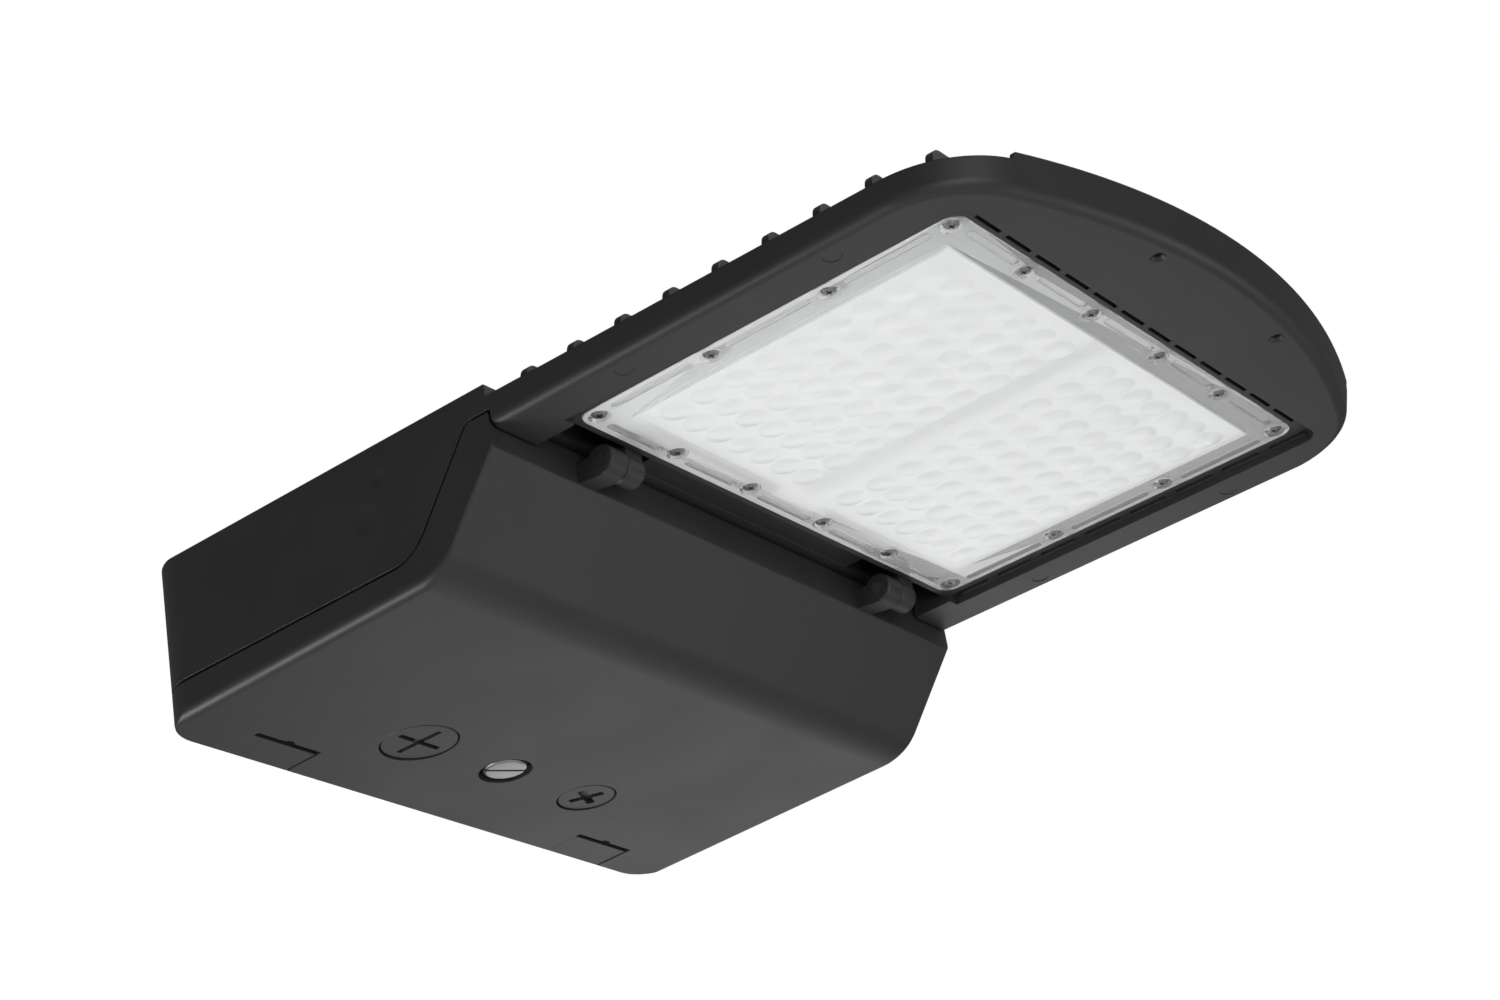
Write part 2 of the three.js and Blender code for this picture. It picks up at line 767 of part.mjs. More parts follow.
function sideSlots() {
  const outer = recessHalfWidth - sideSlotInset;
  const inner = outer - sideSlotWidth;
  const top = landZ + landThickness + overrun / 2;
  return finPlaces()
    .slice(0, -1)
    .flatMap((x) => {
      const middle = x + finPitch / 2;
      const [rear, front] = [middle - sideSlotLength / 2, middle + sideSlotLength / 2];
      return [
        block([rear, -outer, landZ - overrun], [front, -inner, top]),
        block([rear, inner, landZ - overrun], [front, outer, top]),
      ];
    });
}

function frontSlots() {
  const front = recessFrontX - frontSlotInset;
  return Array.from({ length: frontSlotCount }, (_, i) => {
    const middle = (i - (frontSlotCount - 1) / 2) * frontSlotPitch;
    return block(
      [front - frontSlotWidth, middle - frontSlotLength / 2, landZ - overrun],
      [front, middle + frontSlotLength / 2, landZ + landThickness + overrun / 2],
    );
  });
}

// One fin: a thin plate across the head with rounded ends, its foot in the plate and in the rim's floor.
function fin(x) {
  const reach = headReach(x) - finEndInset;
  const step = opticWidth / 2 + opticClearance + headWall / 4;
  const innerFoot = x > recessFrontX ? rimBottomZ + headWall / 2 : plateTopZ - plateThickness / 2;
  const outerFoot = x > recessFrontX ? innerFoot : rimBottomZ + headWall / 2;
  const outline = [
    [-reach, outerFoot],
    [-step, outerFoot],
    [-step, innerFoot],
    [step, innerFoot],
    [step, outerFoot],
    [reach, outerFoot],
    ...cornerArc([reach, outerFoot], [reach, roofZ], [-reach, roofZ], finEndRadius, 1),
    ...cornerArc([reach, roofZ], [-reach, roofZ], [-reach, outerFoot], finEndRadius, 1),
  ];
  return prism(outline, "x", x - finThickness / 2, x + finThickness / 2);
}

// Half the head's width at a place along it.
function headReach(x) {
  if (x <= noseCornerX) return halfWidth;
  return noseCornerY + Math.sqrt(noseCornerRadius ** 2 - (x - noseCornerX) ** 2);
}

function neck() {
  const rearX = boxLength - wall / 2;
  const frontX = troughFrontX + wall / 2;
  const web = block([rearX, -hoodInner, ceilingZ], [frontX, hoodInner, webTopZ]);
  const hoods = [-1, 1].map((side) => {
    const outer = sideBlock(
      side,
      [boxLength - wall, hoodInner - hoodWall, ceilingZ],
      [troughFrontX + wall, recessHalfWidth + headWall, roofZ],
    );
    const inner = sideBlock(
      side,
      [footX, hoodInner, rimBottomZ - overrun],
      [troughFrontX, hoodOuter, insideRoofZ],
    );
    return outer.subtract(inner);
  });
  const footSides = [-1, 1].map((side) =>
    sideBlock(
      side,
      [footX, hoodOuter, rimBottomZ],
      [troughFrontX + wall, recessHalfWidth + headWall, ceilingZ + wall],
    ),
  );
  const half = ductRadius + ductWall;
  const duct = block([boxLength - wall, -half, ceilingZ], [ductX + half, half, roofZ]);
  return join(web, ...hoods, ...footSides, duct);
}

function hingeSpan(centre, side) {
  const near = centre + side * (hingeGap / 2);
  const far = near + side * knuckleWidth;
  return [Math.min(near, far), Math.max(near, far)];
}

function knuckle(centre) {
  const [from, to] = hingeSpan(centre, 1);
  const barrel = rod(knuckleRadius, "y", from, to, [hingeX, 0, hingeZ], fine);
  const half = knuckleArmWidth / 2;
  const arm = block([hingeX - half, from, hingeZ], [hingeX + half, to, insideRoofZ + wall / 2]);
  return barrel.add(arm);
}

function ductPassage() {
  const along = rod(ductRadius, "x", boxLength - 2 * wall, ductX, [0, 0, ductZ], medium);
  const down = rod(ductRadius, "z", plateZ - overrun, ductZ, [ductX, 0, 0], medium);
  const elbow = block(
    [ductX - ductRadius, -ductRadius / 2, ductZ - ductRadius],
    [ductX + ductRadius / 2, ductRadius / 2, ductZ + ductRadius / 2],
  );
  return join(along, down, elbow);
}

function opticScrewBoss([x, y]) {
  const top = flangeSeatZ + opticScrewLength + opticBossWall;
  return rod(opticScrewRadius + opticBossWall, "z", plateTopZ - plateThickness / 2, top, [x, y, 0], coarse);
}

function opticScrewHole([x, y]) {
  const top = flangeSeatZ + opticScrewLength + seat;
  return bore(opticScrewRadius + fit, "z", plateZ - overrun, top, [x, y, 0]);
}

function roofPad([x, y]) {
  return rod(padRadius, "z", padZ, insideRoofZ + wall / 2, [x, y, 0], coarse);
}

function roofPadHole([x, y]) {
  const top = padZ + caseScrewLength - lugThickness;
  return bore(caseScrewRadius + fit, "z", padZ - overrun, top, [x, y, 0]);
}

function poleWall() {
  const bosses = [-1, 1].map((side) =>
    rod(poleBossRadius, "x", wall / 2, wall + poleBossHeight, [0, side * poleSpread, poleBoltZ], medium),
  );
  const collar = rod(wireHoleRadius + wall, "x", wall / 2, wall + poleBossHeight, [0, 0, wireHoleZ], fine);
  return join(...bosses, collar);
}

function poleHoles() {
  const end = wall + poleBossHeight + overrun;
  const bolts = [-1, 1].map((side) =>
    rod(poleBoltRadius, "x", -overrun, end, [0, side * poleSpread, poleBoltZ], medium),
  );
  return [...bolts, rod(wireHoleRadius, "x", -overrun, end, [0, 0, wireHoleZ], fine)];
}

function accessoryHoles() {
  return [-1, 1].map((side) => {
    const at = [noseX - accessorySetback, side * accessorySpread, rimBottomZ];
    const profile = [
      [0, -overrun],
      [accessoryRadius + accessorySink, -overrun],
      [accessoryRadius + accessorySink, 0],
      [accessoryRadius, accessorySink],
      [accessoryRadius, headWall + overrun],
      [0, headWall + overrun],
    ];
    return turned(profile, "z", at, coarse);
  });
}

function dimple(setback, z, radius) {
  const flat = radius - 2 * dimpleDepth;
  const dish = [[0, -overrun], [radius, -overrun], [radius, 0], [flat, dimpleDepth], [0, dimpleDepth]];
  return [-1, 1].map((side) => {
    const place = dish.map(([r, along]) => [r, -side * along]);
    return turned(place, "y", [boxLength - setback, side * halfWidth, z], medium);
  });
}

function ejectorMarks() {
  const head = noseX - footX;
  const y = (halfWidth + recessHalfWidth) / 2;
  return ejectorShares.flatMap((share) =>
    [-1, 1].map((side) =>
      rod(ejectorRadius, "z", -overrun, ejectorDepth, [footX + share * head, side * y, rimBottomZ], coarse),
    ),
  );
}

function housingSolid() {
  const screws = opticScrewPlaces();
  const gearScrews = [...driverScrewPlaces(), ...surgeScrewPlaces(), ...terminalScrewPlaces()];
  const pads = [...gearScrews, [groundX, groundY]];
  const raised = join(
    housingBox(),
    headShell(),
    recessWall(),
    enginePlate(),
    ...finPlaces().map(fin),
    neck(),
    ...screws.map(opticScrewBoss),
    ...[-1, 1].map((side) => knuckle(side * hingeSpread)),
    ...pads.map(roofPad),
    poleWall(),
    rod(postRadius, "z", postBottomZ(), insideRoofZ + wall / 2, [screwX, 0, 0], fine),
  );
  const threadTop = screwEngaged + 2 * overrun;
  const threadAt = [screwX, 0, postBottomZ()];
  const inside = boxBody(wall, 2).intersect(seamSide(seamGap, roofZ)).intersect(frontStrip());
  const gasketLine = prism(
    fieldOutline(opticGasketOut + opticGasketWidth),
    "z",
    plateZ - overrun,
    plateZ + opticGasketDepth,
    [fieldOutline(opticGasketOut).reverse()],
  );
  return cut(
    raised,
    inside,
    prism(opticOutline(opticClearance), "z", rimBottomZ - overrun, plateZ),
    gasketLine,
    ductPassage(),
    ...sideSlots(),
    ...frontSlots(),
    ...screws.map(opticScrewHole),
    ...pads.map(roofPadHole),
    ...[-1, 1].flatMap(boardScrewPlaces).map(boardScrewHole),
    ...[-1, 1].map((side) => pinHole(side * hingeSpread, 1, fit)),
    ...poleHoles(),
    ...accessoryHoles(),
    ...dimple(largeDimpleSetback, largeDimpleZ, largeDimpleRadius),
    ...dimple(smallDimpleSetback, smallDimpleZ, smallDimpleRadius),
    ...ejectorMarks(),
    rod(screwRadius + screwRunning, "z", -overrun, threadTop, threadAt, medium),
  );
}

// The strip behind the front wall that the head's pieces are cleared from.
function frontStrip() {
  const from = [boxLength - 2 * wall, -bodyWidth, ceilingZ + rimDepth];
  return block(from, [boxLength - wall, bodyWidth, insideRoofZ]);
}

function boardScrewHole([x, y]) {
  const top = plateZ + boardScrewLength - boardThickness;
  return bore(boardScrewRadius + fit, "z", plateZ - overrun, top, [x, y, 0]);
}

function pinHole(centre, side, clearance) {
  const [from, to] = hingeSpan(centre, side);
  return rod(pinRadius + clearance, "y", from - overrun, to + overrun, [hingeX, 0, hingeZ], fine);
}

// Door

function floorZ(x) {
  return floorRearZ + ((floorBendZ - floorRearZ) * x) / bendX;
}

function screwBossTopZ() {
  return floorZ(screwX) + screwPocketDepth + screwBossWall;
}

function postBottomZ() {
  return screwBossTopZ() + postGap;
}

function plugBossTopZ() {
  return floorZ(screwX) + plugHeadThickness + plugSealThickness + plugBossWall;
}

function ear(centre) {
  const [from, to] = hingeSpan(centre, -1);
  const barrel = rod(earRadius, "y", from, to, [hingeX, 0, hingeZ], fine);
  const arm = block([boxLength - wall / 2, from, hingeZ - earRadius], [hingeX, to, hingeZ + earRadius / 2]);
  return barrel.add(arm);
}

function plugHole(side, headRadius) {
  const shank = headRadius * plugShankShare + fit;
  const pocket = headRadius + plugGroove;
  const z = floorZ(screwX);
  const profile = [
    [0, -overrun],
    [pocket, -overrun],
    [pocket, plugHeadThickness + plugSealThickness],
    [shank, plugHeadThickness + plugSealThickness],
    [shank, plugLength + overrun],
    [0, plugLength + overrun],
  ];
  return turned(profile, "z", [screwX, side * plugSpread, z], fine);
}

function plugBoss(side, headRadius) {
  const z = floorZ(screwX);
  const at = [screwX, side * plugSpread, 0];
  return rod(headRadius + plugBossWall, "z", z + wall / 2, plugBossTopZ(), at, fine);
}

function rearNotch(side) {
  const middle = (notchInner + notchOuter) / 2;
  const top = floorZ(notchLength) + notchDepth;
  const low = floorRearZ - overrun;
  const recess = sideBlock(side, [-overrun, notchInner, low], [notchLength, notchOuter, top]);
  const tab = sideBlock(
    side,
    [notchLength - overrun / 2, middle - notchTab / 2, low],
    [notchLength + notchTab / 2, middle + notchTab / 2, top - notchDepth / 2],
  );
  return join(recess, tab);
}

function notchPad(side) {
  return sideBlock(
    side,
    [wall / 2, notchInner - wall, floorRearZ + wall / 2],
    [notchLength + 2 * wall, notchOuter + wall, floorZ(notchLength) + notchDepth + wall],
  ).intersect(boxBody(wall / 2, 2));
}

function doorSolid() {
  const below = seamSide(0, floorRearZ - overrun);
  const shell = boxShell(wall, 0).intersect(below);
  const rim = boxShell(rimReach, wall / 2).intersect(seamBand(-rimDepth, 0));
  const grooveBand = seamBand(-grooveDepth, seamGap);
  const groove = boxShell(grooveOuter + grooveWidth, grooveOuter).intersect(grooveBand);
  const raised = join(
    shell,
    rim,
    ...[-1, 1].map((side) => ear(side * hingeSpread)),
    plugBoss(-1, largePlugRadius),
    plugBoss(1, smallPlugRadius),
    rod(screwPocketRadius + wall, "z", floorZ(screwX) + wall / 2, screwBossTopZ(), [screwX, 0, 0], fine),
    ...[-1, 1].map(notchPad),
  );
  const screwHole = turned(
    [
      [0, -overrun],
      [screwPocketRadius, -overrun],
      [screwPocketRadius, screwPocketDepth],
      [screwRadius + screwRunning, screwPocketDepth],
      [screwRadius + screwRunning, screwPocketDepth + screwBossWall + overrun],
      [0, screwPocketDepth + screwBossWall + overrun],
    ],
    "z",
    [screwX, 0, floorZ(screwX)],
    fine,
  );
  return cut(
    raised,
    groove,
    plugHole(-1, largePlugRadius),
    plugHole(1, smallPlugRadius),
    screwHole,
    ...[-1, 1].map((side) => pinHole(side * hingeSpread, -1, pinRunning)),
    ...[-1, 1].map(rearNotch),
  );
}

function doorGasketSolid() {
  const ringBody = boxShell(grooveOuter + grooveWidth - seat, grooveOuter + seat);
  return ringBody.intersect(seamBand(seat - grooveDepth, seamGap - seat));
}

function hingePinSolid(centre) {
  const [from] = hingeSpan(centre, -1);
  const [, to] = hingeSpan(centre, 1);
  return rod(pinRadius, "y", from, to, [hingeX, 0, hingeZ], fine);
}

function plugSolid(side, headRadius, crossLength, crossWidth, crossTurn) {
  const shank = headRadius * plugShankShare;
  const profile = [
    [0, seat],
    [headRadius, seat],
    [headRadius, plugHeadThickness],
    [shank, plugHeadThickness],
    [shank, plugLength],
    [0, plugLength],
  ];
  const at = [screwX, side * plugSpread, floorZ(screwX)];
  const arm = new THREE.BoxGeometry(crossLength, crossWidth, 2 * crossDepth);
  const turn = THREE.MathUtils.degToRad(crossTurn);
  const arms = [turn, turn + Math.PI / 2].map((angle) =>
    solid(arm.clone().rotateZ(angle).translate(...at)),
  );
  return cut(turned(profile, "z", at, fine), ...arms);
}

function plugSealSolid(side, headRadius) {
  const at = [screwX, side * plugSpread, floorZ(screwX) + plugHeadThickness];
  return ring(headRadius * plugShankShare + fit, headRadius, "z", fit, plugSealThickness - fit, at, fine);
}

function captiveScrewSolid() {
  const profile = [
    [0, 0],
    [screwHeadRadius - screwSlotDepth / 2, 0],
    [screwHeadRadius, screwSlotDepth / 2],
    [screwHeadRadius, screwHeadHeight],
    [screwRadius, screwHeadHeight],
    [screwRadius, postBottomZ() + screwEngaged - floorZ(screwX)],
    [0, postBottomZ() + screwEngaged - floorZ(screwX)],
  ];
  const at = [screwX, 0, floorZ(screwX) + seat];
  const slot = new THREE.BoxGeometry(3 * screwHeadRadius, screwSlotWidth, 2 * screwSlotDepth);
  return turned(profile, "z", at, fine).subtract(solid(slot.translate(...at)));
}

function retainingRingSolid() {
  const from = screwBossTopZ() + ringTravel;
  return ring(screwRadius + pinRunning, ringRadius, "z", from, from + ringThickness, [screwX, 0, 0], fine);
}

// Optic

function dome([x, y]) {
  const profile = [
    [0, -domeHeight],
    [domeRadius, 0],
    [domeRadius, fieldThickness / 2],
    [0, fieldThickness / 2],
  ];
  return turned(profile, "z", [x, y, flangeBottomZ - fieldDrop], coarse);
}

function opticSolid() {
  const flange = prism(opticOutline(0), "z", flangeBottomZ, flangeTopZ);
  const field = prism(
    rectangle(
      opticX - fieldLength / 2,
      opticX + fieldLength / 2,
      -fieldWidth / 2,
      fieldWidth / 2,
    ),
    "z",
    flangeBottomZ - fieldDrop,
    flangeTopZ,
  );
  const hollowZ = flangeBottomZ - fieldDrop + fieldThickness;
  const hollow = prism(fieldOutline(-wall / 4), "z", hollowZ, flangeTopZ + overrun);
  const gate = rod(gateRadius, "z", -gateHeight - fieldDrop, 0, [opticX, 0, flangeBottomZ], coarse);
  const places = opticScrewPlaces();
  const pockets = places.map(([x, y]) =>
    rod(opticPocketRadius, "z", flangeBottomZ - overrun, flangeSeatZ, [x, y, 0], coarse),
  );
  const holes = places.map(([x, y]) =>
    bore(opticScrewRadius + fit, "z", flangeBottomZ, flangeTopZ + overrun, [x, y, 0]),
  );
  const domes = [-1, 1].flatMap(ledPlaces).map(dome);
  const body = cut(join(flange, field), hollow, ...pockets, ...holes, ...flangeGrooves());
  return join(body, gate, ...domes);
}

// Shallow grooves round the flange, each from near one screw to near the next.
function flangeGrooves() {
  const outerX = opticLength / 2 - flangeGrooveInset;
  const outerY = opticWidth / 2 - flangeGrooveInset;
  const places = opticScrewPlaces();
  const along = (inLine, axis) => places.filter(inLine).map((place) => place[axis]).sort((a, b) => a - b);
  const sideX = along(([, y]) => y > outerY - opticScrewInsetY, 0);
  const endY = along(([x]) => x > opticX + outerX - opticScrewInsetX, 1);
  const spans = (row) =>
    row.slice(1).map((to, i) => [row[i] + flangeGrooveEndRoom, to - flangeGrooveEndRoom]);
  const groove = (x, y) =>
    prism(
      rectangle(Math.min(...x), Math.max(...x), Math.min(...y), Math.max(...y)),
      "z",
      flangeBottomZ - overrun,
      flangeBottomZ + flangeGrooveDepth,
    );
  return [-1, 1].flatMap((side) => [
    ...spans(sideX).map((x) => groove(x, [side * outerY, side * (outerY - flangeGrooveWidth)])),
    ...spans(endY).map((y) =>
      groove([opticX + side * outerX, opticX + side * (outerX - flangeGrooveWidth)], y),
    ),
  ]);
}

function opticGasketSolid() {
  return prism(
    fieldOutline(opticGasketOut + opticGasketWidth - fit),
    "z",
    flangeTopZ + seat / 2,
    plateZ + opticGasketDepth - seat,
    [fieldOutline(opticGasketOut + fit).reverse()],
  );
}

function opticScrewSolid([x, y]) {
  const headTop = flangeSeatZ - seat;
  const profile = [
    [0, headTop - opticScrewHeadHeight],
    [opticScrewHeadRadius, headTop - opticScrewHeadHeight],
    [opticScrewHeadRadius, headTop],
    [opticScrewRadius, headTop],
    [opticScrewRadius, headTop + opticScrewLength],
    [0, headTop + opticScrewLength],
  ];
  return turned(profile, "z", [x, y, 0], coarse);
}

// LED boards

function boardSolid(side) {
  const rear = opticX - fieldLength / 2 + boardMargin;
  const front = opticX + fieldLength / 2 - boardMargin;
  const outer = fieldWidth / 2 - boardMargin;
  const tabRear = ductX - plugInLength / 2;
  const outline = [
    [rear, side * outer],
    [front, side * outer],
    [front, side * boardInner],
    [tabRear, side * boardInner],
    [tabRear, side * (boardInner + tabWidth)],
    [rear, side * (boardInner + tabWidth)],
  ];
  const sheet = prism(outline, "z", boardBottomZ, boardBottomZ + boardThickness);
  const packages = ledPlaces(side).map(([x, y]) =>
    block(
      [x - ledSize / 2, y - ledSize / 2, boardBottomZ - ledHeight],
      [x + ledSize / 2, y + ledSize / 2, boardBottomZ + boardThickness / 2],
    ),
  );
  const holes = boardScrewPlaces(side).map(([x, y]) =>
    bore(boardScrewRadius + fit, "z", boardBottomZ - overrun, plateZ, [x, y, 0]),
  );
  return cut(join(sheet, ...packages), ...holes);
}

function boardScrewSolid([x, y]) {
  const headTop = boardBottomZ - fit;
  const profile = [
    [0, headTop - boardScrewHeadHeight],
    [boardScrewHeadRadius, headTop - boardScrewHeadHeight],
    [boardScrewHeadRadius, headTop],
    [boardScrewRadius, headTop],
    [boardScrewRadius, headTop + boardScrewLength],
    [0, headTop + boardScrewLength],
  ];
  return turned(profile, "z", [x, y, 0], coarse);
}

function plugInSolid() {
  const top = plateZ - seat;
  return block(
    [ductX - plugInLength / 2, -plugInWidth / 2, top - plugInHeight],
    [ductX + plugInLength / 2, plugInWidth / 2, top],
  );
}

// Driver, surge protector, terminal block and ground screw

function driverScrewPlaces() {
  const y = driverSide + driverWidth / 2;
  return [
    [driverStart - driverLugLength / 2, y],
    [driverStart + driverLength + driverLugLength / 2, y],
  ];
}

function surgeScrewPlaces() {
  return [-1, 1].map((end) => [surgeX + end * (surgeLength + lugLength) / 2, surgeY]);
}

function terminalScrewPlaces() {
  return [-1, 1].map((end) => [terminalX, terminalY + end * (terminalWidth + lugLength) / 2]);
}

function driverSolid() {
  const top = padZ - seat;
  const from = driverStart;
  const to = driverStart + driverLength;
  const sides = [driverSide, driverSide + driverWidth];
  const section = roundedRectangle(sides[0], sides[1], top - driverHeight, top, driverEdge, 1);
  const body = prism(section, "x", from, to);
  const lugs = prism(
    roundedRectangle(
      from - driverLugLength,
      to + driverLugLength,
      sides[0] + driverWidth / 4,
      sides[1] - driverWidth / 4,
      driverEdge,
      1,
    ),
    "z",
    top - driverLugThickness,
    top,
  );
  const holes = driverScrewPlaces().map(([x, y]) =>
    bore(caseScrewRadius + fit, "z", top - 2 * driverLugThickness, top + overrun, [x, y, 0]),
  );
  return cut(join(body, lugs), ...holes);
}

function surgeSolid() {
  const top = padZ - seat;
  const body = prism(
    roundedRectangle(
      surgeX - surgeLength / 2,
      surgeX + surgeLength / 2,
      surgeY - surgeWidth / 2,
      surgeY + surgeWidth / 2,
      driverEdge,
      1,
    ),
    "z",
    top - surgeHeight,
    top,
  );
  const lugs = block(
    [surgeX - surgeLength / 2 - lugLength, surgeY - lugLength / 2, top - lugThickness],
    [surgeX + surgeLength / 2 + lugLength, surgeY + lugLength / 2, top],
  );
  const holes = surgeScrewPlaces().map(([x, y]) =>
    bore(caseScrewRadius + fit, "z", top - 2 * lugThickness, top + overrun, [x, y, 0]),
  );
  return cut(join(body, lugs), ...holes);
}

function terminalSolid() {
  const top = padZ - seat;
  const body = block(
    [terminalX - terminalLength / 2, terminalY - terminalWidth / 2, top - terminalHeight],
    [terminalX + terminalLength / 2, terminalY + terminalWidth / 2, top],
  );
  const lugs = block(
    [terminalX - lugLength / 2, terminalY - terminalWidth / 2 - lugLength, top - lugThickness],
    [terminalX + lugLength / 2, terminalY + terminalWidth / 2 + lugLength, top],
  );
  const entries = [-1, 0, 1].map((way) =>
    rod(
      entryRadius,
      "x",
      terminalX - terminalLength / 2 - overrun,
      terminalX - terminalLength / 2 + entryDepth,
      [0, terminalY + (way * terminalWidth) / 3, top - terminalHeight / 2],
      coarse,
    ),
  );
  const holes = terminalScrewPlaces().map(([x, y]) =>
    bore(caseScrewRadius + fit, "z", top - 2 * lugThickness, top + overrun, [x, y, 0]),
  );
  return cut(join(body, lugs), ...entries, ...holes);
}

function caseScrewSolid([x, y], thickness) {
  const headTop = padZ - seat - thickness - fit;
  const profile = [
    [0, headTop - caseScrewHeadHeight],
    [caseScrewHeadRadius, headTop - caseScrewHeadHeight],
    [caseScrewHeadRadius, headTop],
    [caseScrewRadius, headTop],
    [caseScrewRadius, headTop + caseScrewLength],
    [0, headTop + caseScrewLength],
  ];
  return turned(profile, "z", [x, y, 0], coarse);
}

// Leads

function leadSolid(points) {
  const curve = new THREE.CatmullRomCurve3(points.map((point) => new THREE.Vector3(...point)));
  const section = new THREE.Shape();
  section.absarc(0, 0, leadRadius, 0, 2 * Math.PI);
  const tube = new THREE.ExtrudeGeometry(section, {
    steps: leadSteps * (points.length - 1),
    curveSegments: leadSides / 2,
    extrudePath: curve,
  });
  return solid(tube);
}

function outputLead(side) {
  const y = side * leadSpread;
  const start = driverStart + driverLength + seat;
  const driverY = driverSide + 2 * driverEdge + 2 * y;
  const driverZ = padZ - driverHeight / 2;
  const turnX = boxLength - wall - rimReach;
  return leadSolid([
    [start, driverY, driverZ],
    [start + driverLugThickness, driverY, driverZ],
    [(start + turnX) / 2, (2 * driverY) / 3 + y, (driverZ + ductZ) / 2],
    [turnX - wall, driverY / 6 + 2 * y, ductZ - leadRadius],
    [turnX + wall, y, ductZ],
    [boxLength - wall, y, ductZ],
    [boxLength + sealLength, y, ductZ],
    [ductX - 2 * ductRadius, y, ductZ],
    [ductX - ductRadius / 2, y, ductZ - ductRadius / 3],
    [ductX, y, plateTopZ],
    [ductX, y, plateZ],
  ]);
}

function inputLead(side) {
  const y = side * leadSpread;
  const terminalFace = terminalX - terminalLength / 2;
  const terminalSide = terminalY + (side * terminalWidth) / 3;
  const top = padZ - terminalHeight / 2;
  const cornerX = driverStart / 2 + 2 * y;
  const driverY = driverSide + 3 * driverEdge - 2 * y;
  return leadSolid([
    [terminalFace + entryDepth / 2, terminalSide, top - seat],
    [terminalFace - entryDepth, terminalSide, top - seat],
    [screwX / 2, 2 * y - postRadius, top],
    [cornerX, driverSide / 2, top],
    [cornerX, driverSide, top],
    [(cornerX + driverStart) / 2, driverY - driverEdge / 2, top],
    [driverStart - driverLugThickness, driverY, top],
    [driverStart - seat, driverY, top],
  ]);
}

function wireSealSolid() {
  const from = boxLength - wall;
  const body = rod(ductRadius - fit, "x", from, from + sealLength, [0, 0, ductZ], fine);
  const to = from + sealLength;
  const holes = [-1, 1].map((side) =>
    rod(leadRadius + fit, "x", from - overrun, to + overrun, [0, side * leadSpread, ductZ], coarse),
  );
  return cut(body, ...holes);
}

// Assembly

const light = new THREE.Group();

function add(parent, name, made, material) {
  const { vertProperties, triVerts } = made.getMesh();
  const geometry = new THREE.BufferGeometry();
  geometry.setAttribute("position", new THREE.BufferAttribute(new Float32Array(vertProperties), 3));
  geometry.setIndex(new THREE.BufferAttribute(new Uint32Array(triVerts), 1));
  geometry.computeVertexNormals();
  const mesh = new THREE.Mesh(geometry, material);
  mesh.name = name;
  parent.add(mesh);
}

const castings = new THREE.Group();
add(castings, "housing", housingSolid(), castMaterial);
add(castings, "door", doorSolid(), castMaterial);
add(castings, "door_gasket", doorGasketSolid(), rubberMaterial);
add(castings, "hinge_pin_right", hingePinSolid(-hingeSpread), pinMaterial);
add(castings, "hinge_pin_left", hingePinSolid(hingeSpread), pinMaterial);
light.add(castings);

const doorFittings = new THREE.Group();
add(doorFittings, "captive_screw", captiveScrewSolid(), screwMaterial);
add(doorFittings, "retaining_ring", retainingRingSolid(), pinMaterial);
add(
  doorFittings,
  "large_plug",
  plugSolid(-1, largePlugRadius, largeCrossLength, largeCrossWidth, 0),
  castMaterial,
);
add(doorFittings, "large_plug_seal", plugSealSolid(-1, largePlugRadius), rubberMaterial);
add(
  doorFittings,
  "small_plug",
  plugSolid(1, smallPlugRadius, smallCrossLength, smallCrossWidth, smallCrossTurn),
  castMaterial,
);
add(doorFittings, "small_plug_seal", plugSealSolid(1, smallPlugRadius), rubberMaterial);
light.add(doorFittings);

const engine = new THREE.Group();
add(engine, "optic", opticSolid(), opticMaterial);
add(engine, "optic_gasket", opticGasketSolid(), rubberMaterial);
opticScrewPlaces().forEach((place, i) =>
  add(engine, `optic_screw_${i + 1}`, opticScrewSolid(place), screwMaterial),
);
["right", "left"].forEach((name, i) => {
  const side = 2 * i - 1;
  add(engine, `led_board_${name}`, boardSolid(side), boardMaterial);
  ["rear", "front"].forEach((end, j) =>
    add(engine, `board_screw_${name}_${end}`, boardScrewSolid(boardScrewPlaces(side)[j]), screwMaterial),
  );
});
add(engine, "board_connector", plugInSolid(), plugInMaterial);
light.add(engine);

const gear = new THREE.Group();
add(gear, "driver", driverSolid(), driverMaterial);
add(gear, "surge_protector", surgeSolid(), surgeMaterial);
add(gear, "terminal_block", terminalSolid(), terminalMaterial);
["rear", "front"].forEach((end, i) => {
  const driverScrew = caseScrewSolid(driverScrewPlaces()[i], driverLugThickness);
  add(gear, `driver_screw_${end}`, driverScrew, screwMaterial);
  add(gear, `surge_screw_${end}`, caseScrewSolid(surgeScrewPlaces()[i], lugThickness), screwMaterial);
});
["right", "left"].forEach((name, i) => {
  const terminalScrew = caseScrewSolid(terminalScrewPlaces()[i], lugThickness);
  add(gear, `terminal_screw_${name}`, terminalScrew, screwMaterial);
});
add(gear, "ground_screw", caseScrewSolid([groundX, groundY], lugThickness), groundMaterial);
add(gear, "wire_seal", wireSealSolid(), rubberMaterial);
["black", "red"].forEach((color, i) => {
  add(gear, `output_lead_${color}`, outputLead(2 * i - 1), i === 0 ? blackMaterial : redMaterial);
});
["black", "white"].forEach((color, i) => {
  add(gear, `input_lead_${color}`, inputLead(2 * i - 1), i === 0 ? blackMaterial : whiteMaterial);
});
light.add(gear);

export default light;
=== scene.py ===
import json
import math

import bpy
from mathutils import Matrix, Vector


